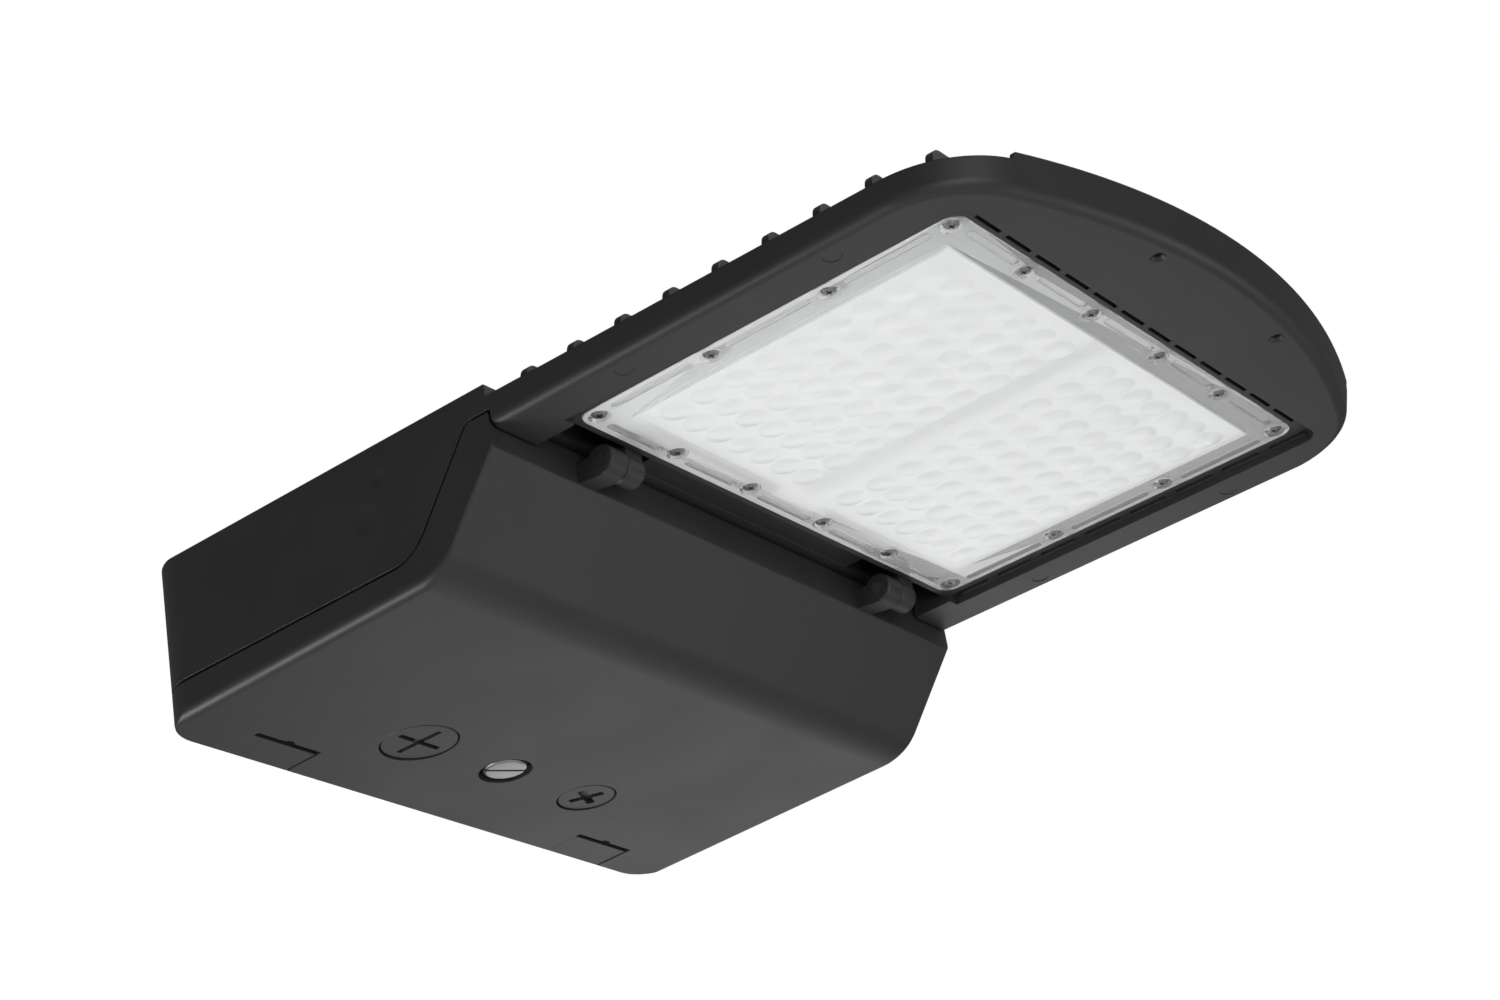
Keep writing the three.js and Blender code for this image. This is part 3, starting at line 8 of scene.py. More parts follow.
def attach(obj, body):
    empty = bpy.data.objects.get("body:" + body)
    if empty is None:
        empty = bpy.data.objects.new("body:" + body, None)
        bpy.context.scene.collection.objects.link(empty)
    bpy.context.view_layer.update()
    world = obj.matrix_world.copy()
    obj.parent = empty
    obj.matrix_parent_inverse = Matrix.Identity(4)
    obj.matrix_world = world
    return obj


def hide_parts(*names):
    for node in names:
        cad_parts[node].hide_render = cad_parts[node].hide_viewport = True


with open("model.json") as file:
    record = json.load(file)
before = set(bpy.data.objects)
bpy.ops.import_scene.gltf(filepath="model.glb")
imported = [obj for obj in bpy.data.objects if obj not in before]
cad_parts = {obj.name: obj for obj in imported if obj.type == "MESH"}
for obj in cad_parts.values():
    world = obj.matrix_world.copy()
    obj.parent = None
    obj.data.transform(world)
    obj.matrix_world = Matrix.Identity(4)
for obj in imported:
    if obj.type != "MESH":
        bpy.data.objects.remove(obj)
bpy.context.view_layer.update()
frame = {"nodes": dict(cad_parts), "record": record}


# The view. A long lens looks up at the light from below and in front of its nose,
# as someone under the pole would, with the box at the lower left.
camera_place = Vector((0.8776, -1.0429, -0.6124))
camera_right = Vector((0.7844, 0.5987, -0.1621))
camera_up = Vector((0.3961, -0.2825, 0.8737))
camera_back = Vector((0.4773, -0.7495, -0.4588))
lens = bpy.data.cameras.new("view")
lens.sensor_width = 36
lens.lens = 73.996
lens.clip_end = 50
view = bpy.data.objects.new("view", lens)
turn = Matrix((camera_right, camera_up, camera_back)).transposed().to_4x4()
view.matrix_world = Matrix.Translation(camera_place) @ turn
bpy.context.scene.collection.objects.link(view)
bpy.context.scene.camera = view
bpy.context.scene.view_settings.view_transform = "Standard"


# The studio. Soft lamps stand round the light, most of them below it, over a pale floor
# and in front of a white surround, which the camera sees, also through the clear pieces.
light_middle = Vector((0.24, 0, 0))


def soft_lamp(name, place, width, height, power):
    lamp = bpy.data.lights.new(name, "AREA")
    lamp.shape = "RECTANGLE"
    lamp.size = width
    lamp.size_y = height
    lamp.energy = power
    piece = bpy.data.objects.new(name, lamp)
    piece.location = place
    piece.rotation_euler = (light_middle - Vector(place)).to_track_quat("-Z", "Y").to_euler()
    bpy.context.scene.collection.objects.link(piece)


soft_lamp("lamp_below", (0.45, 0.25, -1.6), 2.2, 2.2, 4)
soft_lamp("lamp_behind", (-0.55, 1.3, -0.55), 1.0, 0.8, 2.8)
soft_lamp("lamp_beside", (1.6, 1.25, -1.1), 0.4, 0.4, 6)
soft_lamp("lamp_under_side", (-0.8, -0.62, -0.95), 0.3, 0.3, 13)
soft_lamp("lamp_ahead", (1.5, -0.8, -0.3), 0.8, 0.8, 10)
soft_lamp("lamp_above", (0.9, 0.7, 1.8), 1.6, 1.6, 20)


def new_node(tree, kind, **values):
    """A shader node with its plain inputs set. An underscore stands for a space in a name."""
    node = tree.nodes.new("ShaderNode" + kind)
    for name, value in values.items():
        node.inputs[name.replace("_", " ")].default_value = value
    return node


def wire(tree, source, output, target, name):
    tree.links.new(source.outputs[output], target.inputs[name])


def new_material(name, **values):
    """A material, its node tree and its shader, with values on the shader's own inputs."""
    material = bpy.data.materials.new(name)
    material.use_nodes = True
    shader = material.node_tree.nodes["Principled BSDF"]
    for socket, value in values.items():
        shader.inputs[socket.replace("_", " ")].default_value = value
    return material, material.node_tree, shader


surround_diffuse, surround_glossy = 0.13, 0.14
world = bpy.data.worlds.new("surround")
bpy.context.scene.world = world
world.use_nodes = True
tree = world.node_tree
tree.nodes.clear()
surround = new_node(tree, "Background", Color=(1, 1, 1, 1))
rays = new_node(tree, "LightPath")
seen = new_node(tree, "Math")
seen.operation = "MAXIMUM"
wire(tree, rays, "Is Camera Ray", seen, 0)
wire(tree, rays, "Is Transmission Ray", seen, 1)
mirrored = new_node(tree, "MapRange", To_Min=surround_diffuse, To_Max=surround_glossy)
wire(tree, rays, "Is Glossy Ray", mirrored, "Value")
level = new_node(tree, "MapRange", To_Max=1)
wire(tree, seen, 0, level, "Value")
wire(tree, mirrored, "Result", level, "To Min")
wire(tree, level, "Result", surround, "Strength")
wire(tree, surround, "Background", new_node(tree, "OutputWorld"), "Surface")

floor_z, floor_half = -1.9, 9
floor_glow = 0.6  # what the camera adds to the floor's own white
floor_mesh = bpy.data.meshes.new("floor")
floor_mesh.from_pydata(
    [(-floor_half, -floor_half, floor_z), (floor_half, -floor_half, floor_z),
     (floor_half, floor_half, floor_z), (-floor_half, floor_half, floor_z)],
    [], [(0, 1, 2, 3)])
floor = bpy.data.objects.new("floor", floor_mesh)
bpy.context.scene.collection.objects.link(floor)
floor_paint, tree, shader = new_material(
    "floor_paint", Base_Color=(0.86, 0.86, 0.86, 1), Roughness=0.9, Emission_Color=(1, 1, 1, 1))
paling = new_node(tree, "Math")
paling.operation = "MULTIPLY"
paling.inputs[1].default_value = floor_glow
wire(tree, new_node(tree, "LightPath"), "Is Camera Ray", paling, 0)
wire(tree, paling, 0, shader, "Emission Strength")
floor.data.materials.append(floor_paint)


# The housing, one pressure die casting in aluminium with a satin charcoal powder coat.
# First the driver box: a shell with a floor line, a sloping front, a flat roof and a square
# rear wall, whose lower part is cut away along the seam where the door closes it.
box_length, half_width, roof_z, wall = 203.4, 169.3, 31, 3.2
floor_rear_z, floor_bend_z, slope_top_z = -47.1, -43.7, 1.4
slope_run = 36.3
bend_x = box_length - slope_run
bend_radius, rear_radius, slope_top_radius = 26, 20, 1.6
lower_radius, slope_radius, rear_edge_radius, roof_radius = 4.8, 1.2, 2, 0.9
least_radius = 0.6
edge_steps = 3
least_ring_gap = 0.3  # between the lower edge's last ring and the next of the rear corner
overrun = 4  # how far a cut runs past the face that it opens


def linked(name, points, faces):
    """A mesh object from points in millimetres."""
    mesh = bpy.data.meshes.new(name)
    mesh.from_pydata([(x / 1000, y / 1000, z / 1000) for x, y, z in points], [], faces)
    mesh.validate()
    made = bpy.data.objects.new(name, mesh)
    bpy.context.scene.collection.objects.link(made)
    return made


def facing_out(made):
    """Turns the faces round where the solid is inside out."""
    volume = 0
    for face in made.data.polygons:
        corners = [made.data.vertices[i].co for i in face.vertices]
        for b, c in zip(corners[1:], corners[2:]):
            volume += corners[0].dot(b.cross(c))
    if volume < 0:
        made.data.flip_normals()
    return made


def loft(name, rings):
    """A closed solid through rings of equally many points, flat across both ends."""
    count = len(rings[0])
    faces = []
    for r in range(len(rings) - 1):
        for i in range(count):
            a, b = r * count + i, r * count + (i + 1) % count
            faces.append((a, b, b + count, a + count))
    faces.append(tuple(reversed(range(count))))
    faces.append(tuple(range((len(rings) - 1) * count, len(rings) * count)))
    return facing_out(linked(name, [p for ring in rings for p in ring], faces))


def placed(axis, a, b, along):
    """A point of a section plane square to the axis."""
    return {"x": (along, a, b), "y": (a, along, b), "z": (a, b, along)}[axis]


def prism(name, points, axis, start, end):
    return loft(name, [[placed(axis, a, b, along) for a, b in points] for along in (start, end)])


def block(name, low, high):
    outline = [(low[0], low[1]), (high[0], low[1]), (high[0], high[1]), (low[0], high[1])]
    return prism(name, outline, "z", low[2], high[2])


def turned(name, profile, axis, at, sides):
    """A solid of revolution from (radius, place along the axis) pairs, closed on the axis."""
    points, faces, rings = [], [], []
    for radius, along in profile:
        ring = []
        for i in range(sides if radius > 0 else 1):
            a = 2 * math.pi * i / sides
            p = placed(axis, radius * math.cos(a), radius * math.sin(a), along)
            ring.append(len(points))
            points.append(tuple(c + d for c, d in zip(p, at)))
        rings.append(ring)
    for low, high in zip(rings, rings[1:]):
        for i in range(sides):
            j = (i + 1) % sides
            quad = [low[i % len(low)], low[j % len(low)], high[j % len(high)], high[i % len(high)]]
            face = tuple(dict.fromkeys(quad))
            if len(face) > 2:
                faces.append(face)
    return facing_out(linked(name, points, faces))


def rod(name, radius, axis, start, end, at, sides=48):
    return turned(name, [(0, start), (radius, start), (radius, end), (0, end)], axis, at, sides)


def applied(piece):
    """Makes a piece's modifiers part of its mesh."""
    depsgraph = bpy.context.evaluated_depsgraph_get()
    old, made = piece.data, bpy.data.meshes.new_from_object(piece.evaluated_get(depsgraph))
    piece.modifiers.clear()
    piece.data = made
    bpy.data.meshes.remove(old)
    return piece


def combined(base, operation, tools):
    """Joins the tools to the base or cuts them from it, and deletes them."""
    for tool in tools:
        step = base.modifiers.new(operation, "BOOLEAN")
        step.operation = operation
        step.solver = "MANIFOLD"
        step.object = tool
    applied(base)
    for tool in tools:
        bpy.data.objects.remove(tool)
    return base


def joined(base, *tools):
    return combined(base, "UNION", tools)


def cut(base, *tools):
    return combined(base, "DIFFERENCE", tools)


def common(base, tool):
    return combined(base, "INTERSECT", [tool])


def crossing(a, along_a, b, along_b):
    """Where two lines meet, each given by a point and a direction."""
    t = ((b[0] - a[0]) * along_b[1] - (b[1] - a[1]) * along_b[0]) / (
        along_a[0] * along_b[1] - along_a[1] * along_b[0])
    return (a[0] + along_a[0] * t, a[1] + along_a[1] * t)


def inset_corners(corners, distances):
    """The corners of a closed outline after each side has moved in by its own distance."""
    sides = []
    for i, (x, y) in enumerate(corners):
        nx, ny = corners[(i + 1) % len(corners)]
        length = math.hypot(nx - x, ny - y)
        u = ((nx - x) / length, (ny - y) / length)
        sides.append(((x - u[1] * distances[i], y + u[0] * distances[i]), u))
    return [crossing(*sides[i - 1], *sides[i]) for i in range(len(sides))]


def corner_arc(before, corner, after, radius, steps):
    """The points of a corner rounded to a radius."""
    corner, before, after = Vector(corner), Vector(before), Vector(after)
    to_before, to_after = (before - corner).normalized(), (after - corner).normalized()
    half = math.acos(max(-1, min(1, to_before.dot(to_after)))) / 2
    centre = corner + (to_before + to_after).normalized() * (radius / math.sin(half))
    start = corner + to_before * (radius / math.tan(half)) - centre
    way = 1 if to_after.x * to_before.y - to_after.y * to_before.x > 0 else -1
    points = []
    for i in range(steps + 1):
        a = way * (math.pi - 2 * half) * i / steps
        points.append((centre.x + start.x * math.cos(a) - start.y * math.sin(a),
                       centre.y + start.x * math.sin(a) + start.y * math.cos(a)))
    return points


def rounded(corners, radii, steps):
    points = []
    for i, corner in enumerate(corners):
        if radii[i] == 0:
            points.append(corner)
        else:
            after = corners[(i + 1) % len(corners)]
            points += corner_arc(corners[i - 1], corner, after, radii[i], steps[i])
    return points


def rounded_rectangle(x0, x1, y0, y1, radius, steps):
    return rounded([(x0, y0), (x1, y0), (x1, y1), (x0, y1)], [radius] * 4, [steps] * 4)


def drawn_in(radius, s):
    """How far a rounded edge has drawn in at a distance from the face where it ends."""
    return 0 if s >= radius else radius - math.sqrt(radius ** 2 - (radius - s) ** 2)


def box_body(name, inset, steps):
    """The driver box as a solid, moved in by a distance."""
    lower, slope, rear, rear_edge, roof = [max(radius - inset, least_radius) for radius in (
        lower_radius, slope_radius, rear_radius, rear_edge_radius, roof_radius)]
    outline = [(0, floor_rear_z), (bend_x, floor_bend_z), (box_length, slope_top_z),
               (box_length, roof_z), (0, roof_z)]
    corners = inset_corners(outline, [inset] * 5)
    low_places = [lower * (1 - math.cos(math.pi / 2 * i / steps)) for i in range(steps + 1)]
    more = steps + 2
    rear_places = [rear * (1 - math.cos(math.pi / 2 * i / more)) for i in range(more + 1)]
    places = low_places + [s for s in rear_places if s > lower + least_ring_gap]

    def ring(y, s):
        low = drawn_in(lower, s)
        drawn = inset_corners(
            corners, [low, drawn_in(slope, s), 0, drawn_in(roof, s), drawn_in(rear, s)])
        radii = [rear_edge, bend_radius - inset - low, slope_top_radius, roof, roof]
        counts = [edge_steps, more, edge_steps, edge_steps, edge_steps]
        return [(x, y, z) for x, z in rounded(drawn, radii, counts)]

    half = half_width - inset
    rings = [ring(-half + s, s) for s in places] + [ring(half - s, s) for s in reversed(places)]
    return loft(name, rings)


seam_z, seam_top_z, seam_gap = -30.7, 17, 1.3
seam_foot_setback, seam_head_setback = 12.2, 11.7
seam_foot_x, seam_head_x = bend_x - seam_foot_setback, box_length - seam_head_setback
seam_foot_radius, seam_head_radius = 24, 5
seam_foot_steps, seam_head_steps = 12, 6


def seam_line(rise):
    """The seam as a side view, moved up from the door's edge."""
    foot, head = Vector((seam_foot_x, seam_z)), Vector((seam_head_x, seam_top_z))
    climb = (head - foot).normalized()
    on_slope = (foot.x - climb.y * rise, foot.y + climb.x * rise)
    low = crossing((0, seam_z + rise), (1, 0), on_slope, climb)
    high = crossing((0, seam_top_z + rise), (1, 0), on_slope, climb)
    start, end = (-2 * overrun, seam_z + rise), (box_length + 2 * overrun, seam_top_z + rise)
    head_radius = max(seam_head_radius + rise, least_radius)
    return ([start] + corner_arc(start, low, high, seam_foot_radius - rise, seam_foot_steps)
            + corner_arc(low, high, end, head_radius, seam_head_steps) + [end])


def seam_band(low, high):
    points = seam_line(low) + list(reversed(seam_line(high)))
    return prism("band", points, "y", -2 * half_width, 2 * half_width)


def seam_side(rise, far_z):
    line = seam_line(rise)
    points = line + [(line[-1][0], far_z), (line[0][0], far_z)]
    return prism("side", points, "y", -2 * half_width, 2 * half_width)


def box_shell(inset, outset):
    outer_steps, inner_steps = 8, 6
    return cut(box_body("shell", outset, outer_steps), box_body("hollow", inset, inner_steps))


rim_reach, rim_depth = 8.6, 5
housing_rim = common(box_shell(rim_reach, wall / 2), seam_band(seam_gap, seam_gap + rim_depth))
housing_box = common(box_shell(wall, 0), seam_side(seam_gap, roof_z + overrun))
housing_box = joined(housing_box, housing_rim)

# The head, the front part of the same casting: a D-shaped tray open at the top, with a
# rounded rim below, a flared nose, and a recess that takes the lens.
trough_width = 22
optic_half_length, optic_half_width = 96.6, 139.1
optic_rear_x = box_length + trough_width
optic_x = optic_rear_x + optic_half_length
optic_front_x = optic_x + optic_half_length
optic_radius, optic_clearance = 7, 0.4
land_front, land_side, land_rise, land_thickness = 7.6, 8.2, 4, 3.7
recess_front_x, recess_half = optic_front_x + land_front, optic_half_width + land_side
recess_radius, recess_steps = 8.5, 10
nose_reach, nose_corner_setback, nose_corner_radius, nose_end_radius = 48, 69, 46.7, 2.3
nose_x = recess_front_x + nose_reach
nose_corner_x, nose_corner_y = nose_x - nose_corner_setback, half_width - nose_corner_radius
rim_bottom_z, rim_fillet, rim_steps = 10.3, 4.6, 6
nose_top_z, nose_top_half, nose_flare = 26.8, 140, 5
top_edge, top_edge_middle = 1.2, 0.35  # the rounded upper edge, and where its middle lies
side_top_rear_z, side_top_front_z = 24.8, 23.2
head_wall, thin_wall, thin_wall_z = 3.5, 2.1, 22.6
foot_gap = 1.5
foot_x = box_length + foot_gap
flange_proud, flange_thickness, plate_thickness = 0.1, 4.9, 3.5
land_z = rim_bottom_z + land_rise
land_top_z = land_z + land_thickness
flange_bottom_z = land_z - flange_proud
flange_top_z = flange_bottom_z + flange_thickness
plate_z = flange_top_z + optic_clearance
plate_top_z = plate_z + plate_thickness
trough_front_x = optic_rear_x - wall
ceiling_z = seam_top_z + seam_gap
inside_roof_z = roof_z - wall


def head_edge(rear_x):
    """Points with their outward directions, from one side round the nose to the other."""
    ahead = nose_corner_x - nose_x
    big = (ahead ** 2 + nose_corner_y ** 2 - nose_corner_radius ** 2) / (
        2 * (-ahead - nose_corner_radius))
    centre_x = nose_x - big
    lean = math.atan2(nose_corner_y, nose_corner_x - centre_x)
    edge = [(rear_x, -half_width, -math.pi / 2)]
    corner_steps, front_steps = 20, 36
    for i in range(corner_steps + 1):
        out = -math.pi / 2 + (math.pi / 2 - lean) * i / corner_steps
        edge.append((nose_corner_x + nose_corner_radius * math.cos(out),
                     -nose_corner_y + nose_corner_radius * math.sin(out), out))
    half_edge = list(edge)
    for i in range(1, front_steps):
        out = -lean + 2 * lean * i / front_steps
        edge.append((centre_x + big * math.cos(out), big * math.sin(out), out))
    return edge + [(x, -y, -out) for x, y, out in reversed(half_edge)]


def head_outline(rear_x, inset, nose_inset):
    points = []
    for x, y, out in head_edge(rear_x):
        move = inset + nose_inset * max(math.cos(out), 0)
        points.append((x if x == rear_x else x - move * math.cos(out), y - move * math.sin(out)))
    return points


def flare_at(z):
    return nose_flare * max((nose_top_z - z) / (nose_top_z - rim_bottom_z), 0)


def quarter_turn(steps):
    return [math.pi / 2 * i / steps for i in range(steps + 1)]


def head_body(rear_x):
    levels = [(rim_bottom_z + rim_fillet * (1 - math.cos(t)), rim_fillet * (1 - math.sin(t)))
              for t in quarter_turn(rim_steps)]
    levels += [(nose_top_z - top_edge, 0), (nose_top_z - top_edge_middle, top_edge_middle),
               (nose_top_z, top_edge)]
    return loft("head", [[(x, y, z) for x, y in head_outline(rear_x, inset, flare_at(z))]
                         for z, inset in levels])


def recess_outline(grow):
    half = recess_half + grow
    corners = [(box_length - wall, -half), (recess_front_x + grow, -half),
               (recess_front_x + grow, half), (box_length - wall, half)]
    radii, steps = [0, recess_radius, recess_radius, 0], [0, recess_steps, recess_steps, 0]
    return rounded(corners, radii, steps)


def side_block(name, side, low, high):
    """The same block on either side of the middle."""
    if side > 0:
        return block(name, low, high)
    return block(name, (low[0], -high[1], low[2]), (high[0], -low[1], high[2]))


def head_shell():
    """The tray, lower beside the raised middle of the nose, with its hollow and its recess."""
    rear_x = box_length - wall
    near, far, under = rear_x - overrun, nose_x + overrun, rim_bottom_z - overrun
    inner, low = nose_top_half - nose_end_radius, nose_top_z - nose_end_radius
    tools = []
    for side in (-1, 1):
        profile = [(near, side_top_rear_z), (far, side_top_front_z), (far, roof_z), (near, roof_z)]
        edges = sorted((side * nose_top_half, side * 2 * half_width))
        tools.append(prism("side_cut", profile, "y", *edges))
        round_end = [(inner + nose_end_radius * math.sin(t), low + nose_end_radius * math.cos(t))
                     for t in quarter_turn(rim_steps)]
        round_end += [(nose_top_half + overrun, low), (nose_top_half + overrun, roof_z),
                      (inner, roof_z)]
        round_end = [(side * y, z) for y, z in round_end]
        tools.append(prism("round_end", round_end, "x", nose_corner_x, far))
    tools.append(block("door_room", (-overrun, -2 * half_width, under),
                       (foot_x, 2 * half_width, ceiling_z)))
    hollow = head_outline(foot_x + head_wall, head_wall, nose_flare / 2)
    tools.append(prism("hollow", hollow, "z", rim_bottom_z + head_wall, roof_z))
    thin_top = head_outline(foot_x + head_wall, thin_wall, 0)
    tools.append(prism("thin_top", thin_top, "z", thin_wall_z, roof_z))
    tools.append(prism("recess", recess_outline(0), "z", under, land_top_z))
    return cut(head_body(rear_x), *tools)


def recess_wall():
    under = rim_bottom_z - overrun
    outer = prism("recess_wall", recess_outline(head_wall), "z", rim_bottom_z, land_top_z)
    inner = prism("inner", recess_outline(0), "z", under, roof_z)
    room = block("room", (-overrun, -2 * half_width, under), (foot_x, 2 * half_width, roof_z))
    return cut(outer, inner, room)


def optic_outline(grow):
    optic_steps = 6
    return rounded_rectangle(optic_rear_x - grow, optic_front_x + grow, -optic_half_width - grow,
                             optic_half_width + grow, optic_radius, optic_steps)


def engine_plate():
    half = recess_half + head_wall / 2
    land = block("land", (trough_front_x, -half, land_z),
                 (recess_front_x + head_wall / 2, half, land_top_z))
    plate = prism("plate", optic_outline(optic_clearance + head_wall / 2), "z", land_z, plate_top_z)
    rear = block("rear", (trough_front_x, -half, land_z), (optic_rear_x + wall, half, plate_top_z))
    return joined(land, plate, rear)


# Nine fins stand across the head's tray and carry the boards' heat to the air.
# They are thin plates with rounded upper corners, cast with the housing.
fin_count, fin_thickness = 9, 3.5
first_fin_setback, last_fin_setback = 1.45, 1.7
first_fin_x = optic_rear_x - first_fin_setback
fin_pitch = (recess_front_x - last_fin_setback - first_fin_x) / (fin_count - 1)
fin_places = [first_fin_x + i * fin_pitch for i in range(fin_count)]
fin_end_inset, fin_end_radius, fin_end_steps = 0.4, 7, 8
fin_end_z, fin_shoulder_z, fin_end_height = 21, 20, 8
fin_foot_inset, fin_foot_rise, fin_heel_inset, fin_root = 2.2, 6, 7, 1


def head_reach(x):
    if x <= nose_corner_x:
        return half_width
    return nose_corner_y + math.sqrt(nose_corner_radius ** 2 - (x - nose_corner_x) ** 2)


def fin(x):
    """A plate on the lens plate, the land and the rim, with its ends inside the side walls."""
    reach = head_reach(x + fin_thickness / 2) - fin_end_inset
    end, foot = reach - fin_end_inset, reach - fin_foot_inset
    on_rim, low = recess_half + head_wall / 4, rim_bottom_z + head_wall / 2
    middle, high = land_top_z - fin_root, plate_top_z - plate_thickness / 2
    half = [(end, roof_z - fin_end_height), (end, fin_end_z), (foot, fin_shoulder_z),
            (foot, low + fin_foot_rise), (reach - fin_heel_inset, low), (on_rim, low),
            (on_rim, middle)]
    if x <= optic_front_x:
        on_plate = optic_half_width + optic_clearance + head_wall / 4
        half += [(on_plate, middle), (on_plate, high)]
    upper = corner_arc((end, fin_end_z), (end, roof_z), (0, roof_z), fin_end_radius, fin_end_steps)
    right = list(reversed(half)) + upper
    outline = right + [(-y, z) for y, z in reversed(right)]
    return prism("fin", outline, "x", x - fin_thickness / 2, x + fin_thickness / 2)


# The neck between box and head, in the same casting. It holds the door's hinge knuckles
# under two hoods, and a duct that takes the leads from the driver down to the boards.
hinge_reach, hinge_rise, hinge_spread, hinge_gap = 12.9, 5.7, 102.8, 1
hinge_x, hinge_z = box_length + hinge_reach, slope_top_z + hinge_rise
knuckle_width, knuckle_radius, knuckle_arm_half, hinge_chamfer = 11.2, 6.8, 5.5, 0.9
knuckle_bore = 3.2
web_half, web_thickness = 80, 3
hood_inner_y, hood_outer_y = 76.8, 141
duct_radius, duct_half, duct_cover, duct_ahead = 3.2, 6.6, 0.3, 14.6
duct_z, duct_x = roof_z - wall - duct_cover - duct_radius, optic_rear_x + duct_ahead


def neck():
    side_end = recess_half + head_wall
    web = block("web", (box_length - wall / 2, -web_half, ceiling_z),
                (trough_front_x + wall / 2, web_half, ceiling_z + web_thickness))
    pieces = []
    for side in (-1, 1):
        outer = side_block("hood", side, (box_length - wall, hood_inner_y, ceiling_z),
                           (trough_front_x + wall, side_end, roof_z))
        inner = side_block("hood_room", side, (foot_x, web_half, rim_bottom_z - overrun),
                           (trough_front_x, hood_outer_y, inside_roof_z))
        pieces.append(cut(outer, inner))
        pieces.append(side_block("foot", side, (foot_x, hood_outer_y, rim_bottom_z),
                                 (trough_front_x + wall, side_end, ceiling_z + wall)))
    duct = block("duct", (box_length - wall, -duct_half, ceiling_z),
                 (duct_x + duct_half, duct_half, roof_z))
    return joined(web, *pieces, duct)


def hinge_span(centre, side):
    near = centre + side * hinge_gap / 2
    return sorted((near, near + side * knuckle_width))


def hinge_barrel(name, radius, span):
    """A short round bar on the hinge's line with a chamfer at each end."""
    start, end = span
    profile = [(0, start), (radius - hinge_chamfer, start), (radius, start + hinge_chamfer),
               (radius, end - hinge_chamfer), (radius - hinge_chamfer, end), (0, end)]
    return turned(name, profile, "y", (hinge_x, 0, hinge_z), 48)


def knuckle(centre):
    low, high = hinge_span(centre, 1)
    arm = block("arm", (hinge_x - knuckle_arm_half, low, hinge_z),
                (hinge_x + knuckle_arm_half, high, inside_roof_z + wall / 2))
    return joined(hinge_barrel("knuckle", knuckle_radius, (low, high)), arm)


def pin_hole(centre, side, radius):
    start, end = hinge_span(centre, side)
    return rod("pin_hole", radius, "y", start - overrun, end + overrun, (hinge_x, 0, hinge_z), 32)


# What the casting carries besides: bosses and pads for the screws, slots that let air past
# the fins, holes for the pole's bolts and wires, and the marks that the die leaves.
optic_screw_inset_x, optic_screw_inset_y = 7.1, 7
optic_screw_shares, optic_screw_middle_share = (0.208, 0.603, 1), 0.335
optic_screw_places = []
for end in (-1, 1):
    for side in (-1, 1):
        across = optic_half_width - optic_screw_inset_y
        along = optic_half_length - optic_screw_inset_x
        optic_screw_places += [(optic_x + end * along, side * share * across)
                               for share in optic_screw_shares]
        optic_screw_places.append((optic_x + end * optic_screw_middle_share * along, side * across))
optic_screw_places.sort(key=lambda place: (place[1], place[0]))
flange_pocket_depth, optic_boss_radius, optic_boss_height = 2.1, 4, 9
flange_seat_z = flange_bottom_z + flange_pocket_depth
screw_hole_radius, optic_hole_depth = 2.2, 7.3

side_slot_half, side_slot_near, side_slot_far = 9.65, 3.7, 0.4
front_slot_count, front_slot_pitch, front_slot_half = 12, 22.2, 8.8
front_slot_rear, front_slot_front, slot_top = 5.1, 3.3, 2


def air_slots():
    slots = []
    low, top = land_z - overrun, land_top_z + slot_top
    for x in fin_places[:-1]:
        middle = x + fin_pitch / 2
        for side in (-1, 1):
            slots.append(side_block(
                "slot", side, (middle - side_slot_half, recess_half - side_slot_near, low),
                (middle + side_slot_half, recess_half - side_slot_far, top)))
    for i in range(front_slot_count):
        middle = (i - (front_slot_count - 1) / 2) * front_slot_pitch
        slots.append(block(
            "slot", (recess_front_x - front_slot_rear, middle - front_slot_half, low),
            (recess_front_x - front_slot_front, middle + front_slot_half, top)))
    return slots


def cap(radius, height, steps):
    """A shallow round cap as (radius, height) pairs, from its middle out."""
    curve = (radius ** 2 + height ** 2) / (2 * height)
    places = [radius * i / steps for i in range(steps + 1)]
    return [(r, height - (curve - math.sqrt(curve ** 2 - r ** 2))) for r in places]


def dimples(setback, z, radius):
    """A shallow round mark in each side of the box."""
    depth, cap_steps = 0.8, 8
    tools = []
    for side in (-1, 1):
        profile = [(r, -side * rise) for r, rise in cap(radius, depth, cap_steps)]
        profile += [(radius, side * overrun), (0, side * overrun)]
        at = (box_length - setback, side * half_width, z)
        tools.append(turned("dimple", profile, "y", at, 32))
    return tools


def floor_height(x):
    return floor_rear_z + (floor_bend_z - floor_rear_z) * x / bend_x


pole_spread, pole_bolt_z, wire_hole_z = 38, 6, -14
pole_boss_radius, pole_boss_reach, pole_bolt_radius, wire_hole_radius = 12, 4, 5.5, 9.5
pole_hole_reach = 8
screw_x = 53.6
screw_boss_height, post_gap, post_radius, post_bore, post_bore_depth = 8, 9, 9, 4.5, 13.5
screw_boss_top_z = floor_height(screw_x) + screw_boss_height
post_bottom_z = screw_boss_top_z + post_gap
driver_pads, surge_pads = [(17.5, 63), (180.5, 63)], [(86, -92), (150, -92)]
terminal_pads, ground_pad = [(96, -53.5), (96, -22.5)], (24, -70)
pads = [*driver_pads, *surge_pads, *terminal_pads, ground_pad]
pad_radius, pad_drop = 5.5, 3
led_pitch_x, led_pitch_y, led_first_y, board_screw_row = 16.6, 15.57, 16.75, 3.5
board_screw_places = [
    (optic_x + end * board_screw_row * led_pitch_x,
     side * (led_first_y + board_screw_row * led_pitch_y)) for side in (-1, 1) for end in (-1, 1)]
board_hole_radius, board_hole_depth = 1.7, 2.4
field_half_length, field_half_width, bay_half, bay_reach = 80.75, 121.6, 16.5, 8.25
